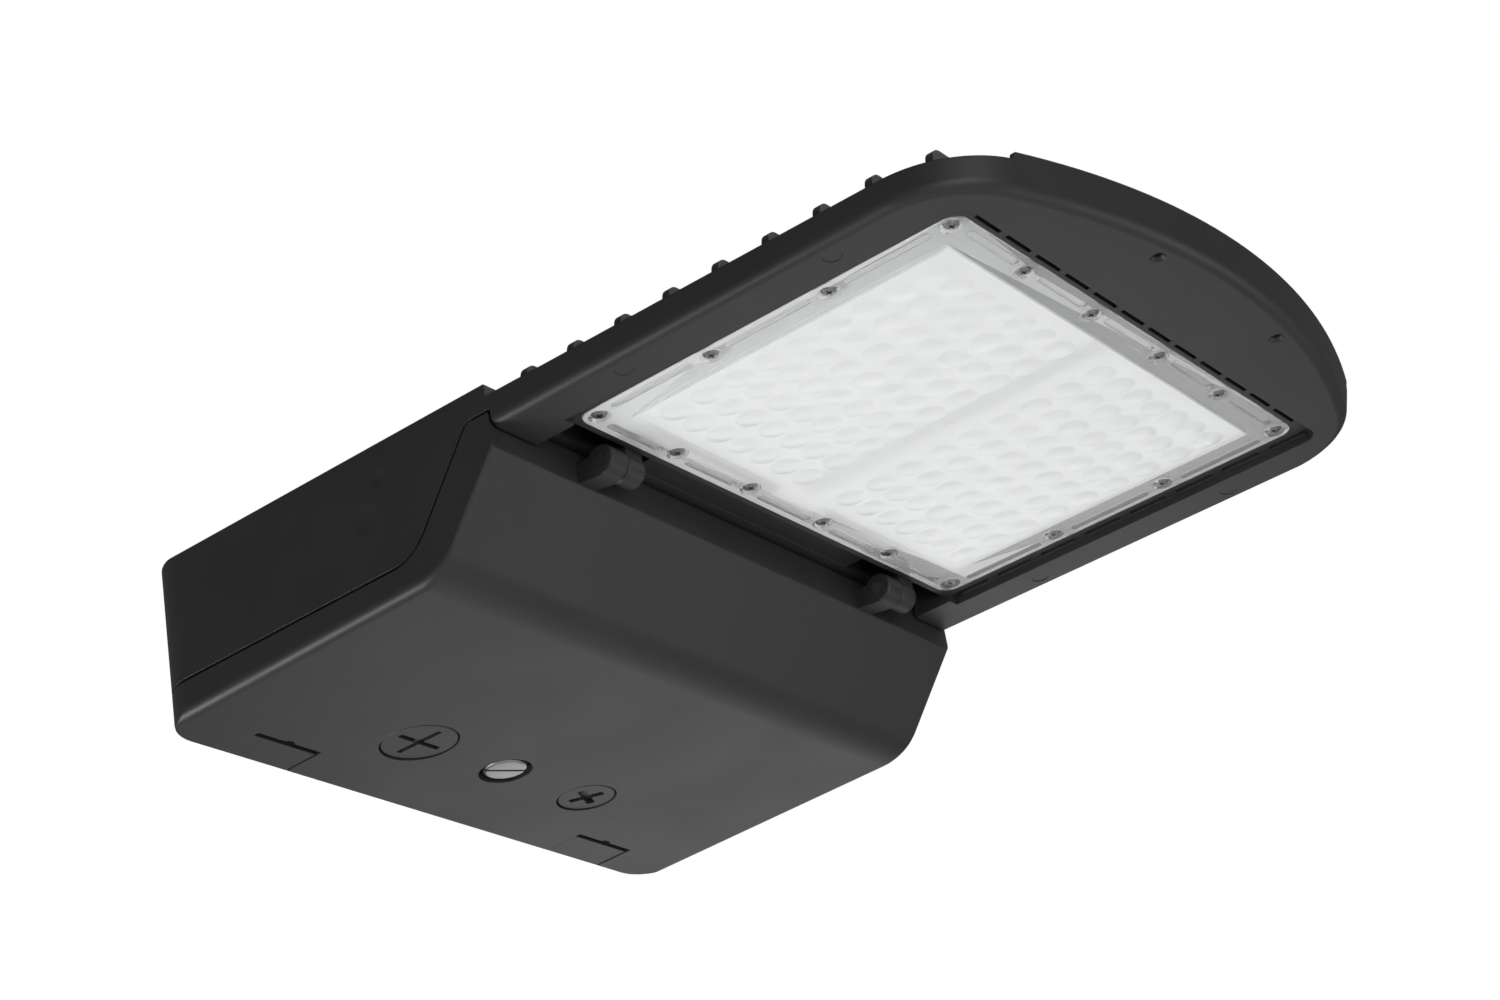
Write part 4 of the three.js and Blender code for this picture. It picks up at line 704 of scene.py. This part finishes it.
gasket_near, gasket_far, gasket_depth = 2.5, 4.7, 1.2
nose_hole_y, nose_hole_setback = 50.2, 17.7
ejector_radius, ejector_depth, ejector_shares = 4, 0.25, (0.23, 0.62)


def bay_outline(grow):
    """The lens's inside in plan, with the wiring bay at its rear middle."""
    rear, front = optic_x - field_half_length - grow, optic_x + field_half_length + grow
    side, bay = field_half_width + grow, bay_half + grow
    return [(rear, -side), (front, -side), (front, side), (rear, side),
            (rear, bay), (rear - bay_reach, bay), (rear - bay_reach, -bay), (rear, -bay)]


def duct_bend():
    """A ball that rounds the duct's turn from along the light to down."""
    bend_steps = 16
    turns = [math.pi * i / bend_steps for i in range(1, bend_steps)]
    profile = [(duct_radius * math.sin(t), -duct_radius * math.cos(t)) for t in turns]
    return turned("bend", [(0, -duct_radius), *profile, (0, duct_radius)], "z",
                  (duct_x, 0, duct_z), 24)


def nose_holes():
    """Two small countersunk holes in the rim's underside near the nose."""
    mouth, bore, sink, depth = 3.5, 2.1, 1.4, 7.5
    profile = [(0, -overrun), (mouth, -overrun), (mouth, 0), (bore, sink),
               (bore, depth), (0, depth)]
    return [turned("sunk_hole", profile, "z", (nose_x - nose_hole_setback, y, rim_bottom_z), 32)
            for y in (-nose_hole_y, nose_hole_y)]


def ejector_marks():
    marks = []
    for share in ejector_shares:
        for side in (-1, 1):
            at = (foot_x + share * (nose_x - foot_x), side * (half_width + recess_half) / 2,
                  rim_bottom_z)
            marks.append(rod("ejector", ejector_radius, "z", -overrun, ejector_depth, at, 32))
    return marks


def uprights(name, radius, low, high, places, sides):
    return [rod(name, radius, "z", low, high, (x, y, 0), sides) for x, y in places]


root_z = inside_roof_z + wall / 2
pole_end, pole_cut_end = wall + pole_boss_reach, wall + pole_hole_reach + overrun
housing_casting = joined(
    housing_box, head_shell(), recess_wall(), engine_plate(), *[fin(x) for x in fin_places], neck(),
    *uprights("boss", optic_boss_radius, plate_top_z - plate_thickness / 2,
              flange_seat_z + optic_boss_height, optic_screw_places, 24),
    knuckle(-hinge_spread), knuckle(hinge_spread),
    *uprights("pad", pad_radius, inside_roof_z - pad_drop, root_z, pads, 32),
    *[rod("pole_boss", pole_boss_radius, "x", wall / 2, pole_end, (0, y, pole_bolt_z))
      for y in (-pole_spread, pole_spread)],
    rod("collar", wire_hole_radius + wall, "x", wall / 2, pole_end, (0, 0, wire_hole_z)),
    rod("post", post_radius, "z", post_bottom_z, root_z, (screw_x, 0, 0)))
front_strip = common(common(box_body("inside", wall, 3), seam_side(seam_gap, roof_z)), block(
    "strip", (box_length - 2 * wall, -2 * half_width, ceiling_z + rim_depth),
    (box_length - wall, 2 * half_width, inside_roof_z)))
gasket_groove = cut(
    prism("groove", bay_outline(gasket_far), "z", plate_z - overrun, plate_z + gasket_depth),
    prism("inner", bay_outline(gasket_near), "z", plate_z - 2 * overrun, plate_z + overrun))
housing_casting = cut(
    housing_casting, front_strip,
    prism("optic_room", optic_outline(optic_clearance), "z", rim_bottom_z - overrun, plate_z),
    gasket_groove,
    rod("duct_along", duct_radius, "x", box_length - 2 * wall, duct_x, (0, 0, duct_z), 24),
    rod("duct_down", duct_radius, "z", plate_z - overrun, duct_z, (duct_x, 0, 0), 24),
    duct_bend(),
    *air_slots(),
    *uprights("hole", screw_hole_radius, plate_z - overrun, flange_seat_z + optic_hole_depth,
              optic_screw_places, 16),
    *uprights("hole", screw_hole_radius, inside_roof_z - pad_drop - overrun, root_z, pads, 16),
    *uprights("hole", board_hole_radius, plate_z - overrun, plate_z + board_hole_depth,
              board_screw_places, 16),
    *[pin_hole(centre, 1, knuckle_bore) for centre in (-hinge_spread, hinge_spread)],
    *[rod("bolt_hole", pole_bolt_radius, "x", -overrun, pole_cut_end, (0, y, pole_bolt_z))
      for y in (-pole_spread, pole_spread)],
    rod("wire_hole", wire_hole_radius, "x", -overrun, pole_cut_end, (0, 0, wire_hole_z)),
    *nose_holes(), *dimples(setback=72, z=-1.1, radius=7.5),
    *dimples(setback=62.1, z=14.5, radius=4.6), *ejector_marks(),
    rod("thread", post_bore, "z", -overrun, post_bore_depth, (screw_x, 0, post_bottom_z), 32))
housing_casting.name = "housing_casting"


def smooth(made):
    """Smooth shading between faces that nearly line up, with flat faces kept flat."""
    smooth_angle = math.radians(28)
    made.data.shade_smooth()
    made.data.set_sharp_from_angle(angle=smooth_angle)
    weight = made.modifiers.new("weight", "WEIGHTED_NORMAL")
    weight.keep_sharp = True
    return applied(made)


def coat_grain():
    """The fine orange peel and faint mottle of a baked coat, used by every coated piece."""
    group = bpy.data.node_groups.new("coat_grain", "ShaderNodeTree")
    for name, way, kind in (
            ("Colour", "INPUT", "Color"), ("Grain Size", "INPUT", "Float"),
            ("Mottle", "INPUT", "Float"), ("Roughness", "INPUT", "Float"),
            ("Colour", "OUTPUT", "Color"), ("Roughness", "OUTPUT", "Float"),
            ("Height", "OUTPUT", "Float")):
        group.interface.new_socket(name, in_out=way, socket_type="NodeSocket" + kind)
    given, put_out = group.nodes.new("NodeGroupInput"), group.nodes.new("NodeGroupOutput")
    place = new_node(group, "TexCoord")
    grain = new_node(group, "TexNoise", Detail=2)
    wire(group, place, "Object", grain, "Vector")
    wire(group, given, "Grain Size", grain, "Scale")
    cloud = new_node(group, "TexNoise", Scale=22, Detail=3)
    wire(group, place, "Object", cloud, "Vector")
    spread = new_node(group, "MapRange", From_Min=0.3, From_Max=0.7, To_Min=-1)
    wire(group, cloud, "Fac", spread, "Value")
    amount = new_node(group, "Math")
    amount.operation = "MULTIPLY_ADD"
    amount.inputs[2].default_value = 1
    wire(group, spread, "Result", amount, 0)
    wire(group, given, "Mottle", amount, 1)
    shade = new_node(group, "VectorMath")
    shade.operation = "SCALE"
    wire(group, given, "Colour", shade, 0)
    wire(group, amount, 0, shade, "Scale")
    wire(group, shade, "Vector", put_out, "Colour")
    gloss = new_node(group, "Math")
    gloss.operation = "MULTIPLY"
    wire(group, given, "Roughness", gloss, 0)
    wire(group, amount, 0, gloss, 1)
    wire(group, gloss, 0, put_out, "Roughness")
    wire(group, grain, "Fac", put_out, "Height")
    return group


coat_grain_group = coat_grain()


def coated(name, colour, roughness, grain_size, mottle, depth, edge, specular=0.5, metallic=0.0):
    """A coated material. The grain's depth and the edges' radius are in millimetres."""
    material, tree, shader = new_material(
        name, Metallic=metallic, Specular_IOR_Level=specular)
    grain = tree.nodes.new("ShaderNodeGroup")
    grain.node_tree = coat_grain_group
    for socket, value in (("Colour", (*colour, 1)), ("Grain Size", grain_size),
                          ("Mottle", mottle), ("Roughness", roughness)):
        grain.inputs[socket].default_value = value
    wire(tree, grain, "Colour", shader, "Base Color")
    wire(tree, grain, "Roughness", shader, "Roughness")
    bump = new_node(tree, "Bump", Distance=depth / 1000)
    wire(tree, grain, "Height", bump, "Height")
    bevel = new_node(tree, "Bevel", Radius=edge / 1000)
    bevel.samples = 4
    wire(tree, bevel, "Normal", bump, "Normal")
    wire(tree, bump, "Normal", shader, "Normal")
    return material


powder_coat = coated("powder_coat", (0.027, 0.027, 0.0285), roughness=0.48, grain_size=1500,
                     mottle=0.06, depth=0.05, edge=0.55, specular=0.35)


def dressed(piece, body, slot, material, *nodes_replaced):
    """Gives a piece its material and ties it to its body and the solids it replaces; the slot is
    not used.
    """
    piece.data.materials.clear()
    piece.data.materials.append(material)
    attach(piece, body)
    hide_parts(*nodes_replaced)


dressed(smooth(housing_casting), "housing", "cast_paint", powder_coat, "housing")


# The door, a second casting with the same coat: a bent tray that closes the box from below,
# hung on two ears at its front edge, with a gasket groove in its rim.
large_plug_radius, small_plug_radius, plug_spread = 18, 14.2, 59
plug_shank_share, plug_clearance, plug_groove = 0.72, 0.2, 0.45
plug_seat, plug_cut_end, plug_boss_wall, plug_boss_height = 6.4, 19, 3.6, 10
screw_pocket_radius, screw_pocket_depth, screw_bore, screw_cut_end = 12.75, 4.6, 4.5, 12
door_floor_z = floor_height(screw_x)
ear_radius, ear_shoulder, ear_bore = 7.25, 3.6, 3.08
ear_foot_x, ear_foot_rise, ear_heel_x, ear_heel_rise = box_length + 3.6, 1, box_length + 8, 0.3


def ear(centre):
    low, high = hinge_span(centre, -1)
    rear_x, under, over = box_length - wall / 2, hinge_z - ear_radius, hinge_z + ear_shoulder
    side = [(rear_x, slope_top_z), (box_length, slope_top_z), (ear_foot_x, under + ear_foot_rise),
            (ear_heel_x, under + ear_heel_rise), (hinge_x, under), (hinge_x, over), (rear_x, over)]
    return joined(hinge_barrel("ear", ear_radius, (low, high)), prism("arm", side, "y", low, high))


def plug_hole(side, radius):
    shank, pocket = radius * plug_shank_share + plug_clearance, radius + plug_groove
    profile = [(0, -overrun), (pocket, -overrun), (pocket, plug_seat), (shank, plug_seat),
               (shank, plug_cut_end), (0, plug_cut_end)]
    return turned("plug_hole", profile, "z", (screw_x, side * plug_spread, door_floor_z), 64)


def plug_boss(side, radius):
    return rod("plug_boss", radius + plug_boss_wall, "z", door_floor_z + wall / 2,
               door_floor_z + plug_boss_height, (screw_x, side * plug_spread, 0), 64)


def screw_hole():
    profile = [(0, -overrun), (screw_pocket_radius, -overrun),
               (screw_pocket_radius, screw_pocket_depth), (screw_bore, screw_pocket_depth),
               (screw_bore, screw_cut_end), (0, screw_cut_end)]
    return turned("screw_hole", profile, "z", (screw_x, 0, door_floor_z), 64)


notch_near, notch_far, notch_length, notch_depth = 90.3, 130.2, 23, 2.4
notch_near_gap, notch_far_gap, notch_front_gap, tongue_sunk = 0.9, 0.8, 3.4, 0.35
tongue_length, tab_middle, tab_half = 20, 110.25, 2.5
tab_rear, tab_front, tab_drop = 21, 24.5, 1.2
notch_pad_near, notch_pad_far, notch_pad_front = 87.1, 133.4, 29.4


def rear_notch(side):
    """A tongue nearly level with the floor, with a narrow gap on either side and a wide one
    in front, where a small tab stands."""
    low, top = floor_rear_z - overrun, floor_height(notch_length) + notch_depth
    sunk = [(-overrun, low), (tongue_length, low),
            (tongue_length, floor_height(tongue_length) + tongue_sunk),
            (-overrun, floor_height(-overrun) + tongue_sunk)]
    edges = sorted((side * notch_near, side * notch_far))
    return joined(
        prism("notch", sunk, "y", *edges),
        side_block("near_gap", side, (-overrun, notch_near, low),
                   (notch_length, notch_near + notch_near_gap, top)),
        side_block("far_gap", side, (-overrun, notch_far - notch_far_gap, low),
                   (notch_length, notch_far, top)),
        side_block("front_gap", side, (notch_length - notch_front_gap, notch_near, low),
                   (notch_length, notch_far, top)),
        side_block("tab", side, (tab_rear, tab_middle - tab_half, low),
                   (tab_front, tab_middle + tab_half, top - tab_drop)))


def notch_pad(side):
    """The thicker metal inside the door, behind a notch."""
    pad = side_block("notch_pad", side, (wall / 2, notch_pad_near, floor_rear_z + wall / 2),
                     (notch_pad_front, notch_pad_far,
                      floor_height(notch_length) + notch_depth + wall))
    return common(pad, box_body("inside", wall / 2, 4))


door_groove_inner, door_groove_outer, door_groove_depth = 7.4, 3.6, 2.2
door_casting = joined(
    common(box_shell(wall, 0), seam_side(0, floor_rear_z - overrun)),
    common(box_shell(rim_reach, wall / 2), seam_band(-rim_depth, 0)),
    ear(-hinge_spread), ear(hinge_spread),
    plug_boss(-1, large_plug_radius), plug_boss(1, small_plug_radius),
    rod("screw_boss", screw_pocket_radius + wall, "z", door_floor_z + wall / 2, screw_boss_top_z,
        (screw_x, 0, 0), 64),
    notch_pad(-1), notch_pad(1))
door_casting = cut(
    door_casting,
    common(box_shell(door_groove_inner, door_groove_outer),
           seam_band(-door_groove_depth, seam_gap)),
    plug_hole(-1, large_plug_radius), plug_hole(1, small_plug_radius), screw_hole(),
    *[pin_hole(centre, -1, ear_bore) for centre in (-hinge_spread, hinge_spread)],
    rear_notch(-1), rear_notch(1))
door_casting.name = "door_casting"
dressed(smooth(door_casting), "door", "cast_paint", powder_coat, "door")


# The plugs in the door, cast pieces with the door's coat, one large and one small.
# Each is screwed home with a key that goes into the cross-shaped recess in its face.
plug_face, plug_edge, plug_head_end, plug_end = 0.3, 0.7, 5, 15
plug_tip_edge, cross_depth, cross_radius = 0.6, 2.6, 0.8


def spun(outline, degrees, x, y):
    """An outline turned about its own middle and moved to a place."""
    a = math.radians(degrees)
    return [(x + u * math.cos(a) - v * math.sin(a), y + u * math.sin(a) + v * math.cos(a))
            for u, v in outline]


def plug(name, side, radius, cross_length, cross_width, cross_turn):
    y, shank = side * plug_spread, radius * plug_shank_share
    profile = [(0, plug_face), (radius - plug_edge, plug_face), (radius, plug_face + plug_edge),
               (radius, plug_head_end), (shank, plug_head_end), (shank, plug_end - plug_tip_edge),
               (shank - plug_tip_edge, plug_end), (0, plug_end)]
    body = turned(name, profile, "z", (screw_x, y, door_floor_z), 64)
    reach, half = cross_length / 2, cross_width / 2
    outline = rounded_rectangle(-reach, reach, -half, half, cross_radius, 4)
    arms = [prism("arm", spun(outline, degrees, screw_x, y), "z", door_floor_z - overrun,
                  door_floor_z + cross_depth) for degrees in (cross_turn, cross_turn + 90)]
    return smooth(cut(body, *arms))


large_plug = plug("large_plug_head", -1, large_plug_radius,
                  cross_length=26, cross_width=3, cross_turn=0)
dressed(large_plug, "door", "cast_paint", powder_coat, "large_plug")
small_plug = plug("small_plug_head", 1, small_plug_radius,
                  cross_length=17, cross_width=4, cross_turn=24)
dressed(small_plug, "door", "cast_paint", powder_coat, "small_plug")


# The door screw, turned and slotted bright steel. A ring on its neck keeps it in the door
# when it is undone, and its thread goes into the housing's post.
def turned_metal(name, colour, roughness, streak):
    """Bright metal with the fine marks that a tool leaves."""
    darkest, smoothest, roughest, mark_depth = 0.86, 0.8, 1.25, 0.00002
    material, tree, shader = new_material(name, Metallic=1)
    grain = new_node(tree, "TexNoise", Scale=streak, Detail=3)
    wire(tree, new_node(tree, "TexCoord"), "Object", grain, "Vector")
    rough = new_node(tree, "MapRange", To_Min=roughness * smoothest, To_Max=roughness * roughest)
    wire(tree, grain, "Fac", rough, "Value")
    wire(tree, rough, "Result", shader, "Roughness")
    tone = new_node(tree, "Mix")
    tone.data_type = "RGBA"
    tone.inputs["A"].default_value = (*[c * darkest for c in colour], 1)
    tone.inputs["B"].default_value = (*colour, 1)
    wire(tree, grain, "Fac", tone, "Factor")
    wire(tree, tone, "Result", shader, "Base Color")
    bump = new_node(tree, "Bump", Distance=mark_depth)
    wire(tree, grain, "Fac", bump, "Height")
    wire(tree, bump, "Normal", shader, "Normal")
    return material


bright_steel = turned_metal("bright_steel", (0.34, 0.34, 0.335), roughness=0.34, streak=700)
screw_sunk, screw_engaged, screw_tip = 0.3, 5.5, 0.8
screw_neck_radius, screw_tip_radius, screw_head_height = 4, 3.2, 4
screw_crown = [(0, 0), (8.9, 0), (9.7, 0.25), (10.2, 0.7), (10.4, 1.4), (10.4, 3.6)]
screw_slot_half, screw_slot_reach, screw_slot_depth, screw_slot_turn = 0.9, 15, 1.6, 58
door_screw_z = door_floor_z + screw_sunk
door_screw_end = post_bottom_z + screw_engaged - door_floor_z
door_screw = turned("door_screw", [
    *screw_crown, (10, screw_head_height), (screw_neck_radius, screw_head_height),
    (screw_neck_radius, door_screw_end - screw_tip), (screw_tip_radius, door_screw_end),
    (0, door_screw_end)], "z", (screw_x, 0, door_screw_z), 64)
slot_outline = spun(
    [(-screw_slot_reach, -screw_slot_half), (screw_slot_reach, -screw_slot_half),
     (screw_slot_reach, screw_slot_half), (-screw_slot_reach, screw_slot_half)],
    screw_slot_turn, screw_x, 0)
door_screw = cut(door_screw, prism("slot", slot_outline, "z", door_screw_z - overrun,
                                   door_screw_z + screw_slot_depth))
dressed(smooth(door_screw), "captive_screw", "bright_screw", bright_steel, "captive_screw")


# The lens, one clear moulded panel: a flat flange with shallow grooves and sixteen screw
# pockets, and a field, slightly sunk, that carries a shallow dome over each LED.
led_columns, led_rows = 9, 7
led_places = [(optic_x + (column - (led_columns - 1) / 2) * led_pitch_x,
               side * (led_first_y + row * led_pitch_y))
              for side in (-1, 1) for column in range(led_columns) for row in range(led_rows)]
field_drop, field_thickness, field_wall = 1, 2.4, 0.8
dome_radius, dome_height, dome_steps = 7.6, 0.9, 7
groove_near, groove_far, groove_end_room = 3, 7.1, 8.5
groove_depth, groove_radius, groove_steps = 1, 2, 4
pocket_radius, lens_hole_radius, gate_radius, gate_height = 4.9, 2.3, 3.2, 0.5
field_z = flange_bottom_z - field_drop


def dome(x, y):
    profile = [(r, -rise) for r, rise in cap(dome_radius, dome_height, dome_steps)]
    profile += [(dome_radius, field_thickness / 2), (0, field_thickness / 2)]
    return turned("dome", profile, "z", (x, y, field_z), 28)


def flange_grooves():
    """Shallow grooves round the flange, each from near one screw to near the next."""
    side_y = max(y for x, y in optic_screw_places)
    end_x = max(x for x, y in optic_screw_places)
    side_row = sorted(x for x, y in optic_screw_places if y == side_y)
    end_row = sorted(y for x, y in optic_screw_places if x == end_x)
    grooves = []
    rows = (side_row, optic_half_width, False), (end_row, optic_half_length, True)
    for row, half, at_end in rows:
        for start, end in zip(row, row[1:]):
            for side in (-1, 1):
                across = sorted((side * (half - groove_near), side * (half - groove_far)))
                along = (start + groove_end_room, end - groove_end_room)
                spans = (*[optic_x + v for v in across], *along) if at_end else (*along, *across)
                outline = rounded_rectangle(*spans, groove_radius, groove_steps)
                grooves.append(prism("groove", outline, "z", flange_bottom_z - overrun,
                                     flange_bottom_z + groove_depth))
    return grooves


clear_lens = prism("clear_lens", optic_outline(0), "z", flange_bottom_z, flange_top_z)
clear_lens = joined(clear_lens, block(
    "field", (optic_x - field_half_length, -field_half_width, field_z),
    (optic_x + field_half_length, field_half_width, flange_top_z)))
clear_lens = cut(
    clear_lens, *flange_grooves(),
    prism("hollow", bay_outline(-field_wall), "z", field_z + field_thickness,
          flange_top_z + overrun),
    *uprights("pocket", pocket_radius, flange_bottom_z - overrun, flange_seat_z,
              optic_screw_places, 32),
    *uprights("hole", lens_hole_radius, flange_bottom_z, flange_top_z + overrun,
              optic_screw_places, 16))
gate = rod("gate", gate_radius, "z", -gate_height - field_drop, 0,
           (optic_x, 0, flange_bottom_z), 24)
clear_lens = joined(clear_lens, gate, *[dome(x, y) for x, y in led_places])
clear_lens.name = "clear_lens"


def clear_plastic(name, colour, clarity, least_rough, most_rough):
    """Clear moulded plastic that lets the lamps' light through to what is behind it."""
    material, tree, shader = new_material(
        name, Base_Color=(*colour, 1), Transmission_Weight=clarity, IOR=1.49)
    haze = new_node(tree, "TexNoise", Scale=60)
    wire(tree, new_node(tree, "TexCoord"), "Object", haze, "Vector")
    rough = new_node(tree, "MapRange", To_Min=least_rough, To_Max=most_rough)
    wire(tree, haze, "Fac", rough, "Value")
    wire(tree, rough, "Result", shader, "Roughness")
    passing = new_node(tree, "BsdfTransparent", Color=(0.93, 0.94, 0.94, 1))
    mixed = new_node(tree, "MixShader")
    wire(tree, new_node(tree, "LightPath"), "Is Shadow Ray", mixed, "Fac")
    wire(tree, shader, "BSDF", mixed, 1)
    wire(tree, passing, "BSDF", mixed, 2)
    wire(tree, mixed, "Shader", tree.nodes["Material Output"], "Surface")
    return material


flange_plastic = clear_plastic("lens_flange_plastic", (0.78, 0.785, 0.785), clarity=0.82,
                               least_rough=0.1, most_rough=0.16)
field_plastic = clear_plastic("lens_field_plastic", (0.88, 0.885, 0.885), clarity=0.4,
                              least_rough=0.2, most_rough=0.28)
dressed(smooth(clear_lens), "housing", "clear_optic", flange_plastic, "optic")
clear_lens.data.materials.append(field_plastic)
field_end_x, field_side_y = 80.8, 121.7  # just outside the field's own side faces
for face in clear_lens.data.polygons:
    x, y = abs(face.center.x * 1000 - optic_x), abs(face.center.y * 1000)
    face.material_index = 1 if x < field_end_x and y < field_side_y else 0


# The lens screws, small pan heads in bright steel with a cross recess. They sit in the
# flange's pockets and hold the lens and its gasket to the plate.
lens_screw_head = [(0, -1.6), (2.2, -1.55), (2.9, -1.3), (3.3, -0.8), (3.4, -0.3), (3.4, 0)]
lens_screw_shank = [(2, 0), (2, 6.6), (1.6, 7), (0, 7)]
lens_screw_gap, recess_reach, recess_half_width, recess_end = 0.3, 1.7, 0.4, 0.6
for number, (x, y) in enumerate(optic_screw_places, 1):
    top = flange_seat_z - lens_screw_gap
    lens_screw = turned(f"lens_screw_{number}", lens_screw_head + lens_screw_shank, "z",
                        (x, y, top), 32)
    arms = [block("arm", (x - a, y - b, top - overrun), (x + a, y + b, top - recess_end))
            for a, b in ((recess_reach, recess_half_width), (recess_half_width, recess_reach))]
    dressed(smooth(cut(lens_screw, *arms)), "housing", "bright_screw", bright_steel,
            f"optic_screw_{number}")


# Every other solid is right as it is and gets its own finish: seals, pins, the boards and
# their connector, the driver and the other gear in the box, with their screws and leads.
def plain(name, colour, roughness, grain_size, depth, metallic=0.0):
    gear_mottle, gear_edge = 0.05, 0.3
    return coated(name, colour, roughness, grain_size, gear_mottle, depth, gear_edge,
                  metallic=metallic)


finishes = {
    "rubber": plain("rubber", (0.012, 0.012, 0.012), 0.7, 900, 0.04),
    "pin_steel": turned_metal("pin_steel", (0.5, 0.5, 0.5), 0.35, 500),
    "bright_screw": bright_steel,
    "white_board": plain("white_board", (0.82, 0.82, 0.81), 0.45, 400, 0.02),
    "white_plastic": plain("white_plastic", (0.7, 0.69, 0.66), 0.45, 600, 0.02),
    "driver_case": plain("driver_case", (0.55, 0.56, 0.57), 0.4, 800, 0.03, metallic=0.85),
    "dark_plastic": plain("dark_plastic", (0.02, 0.022, 0.025), 0.5, 900, 0.04),
    "green_screw": turned_metal("green_screw", (0.08, 0.3, 0.12), 0.35, 500),
    "lead_red": plain("lead_red", (0.3, 0.025, 0.018), 0.45, 700, 0.02),
    "lead_black": plain("lead_black", (0.012, 0.012, 0.013), 0.45, 700, 0.02),
    "lead_white": plain("lead_white", (0.72, 0.72, 0.7), 0.45, 700, 0.02),
    "cast_paint": powder_coat,
}
for part in frame["record"]["subparts"]:
    solid = frame["nodes"][part["node"]]
    if not solid.hide_render:
        solid.data.materials.clear()
        solid.data.materials.append(finishes[part["material_slot"]])
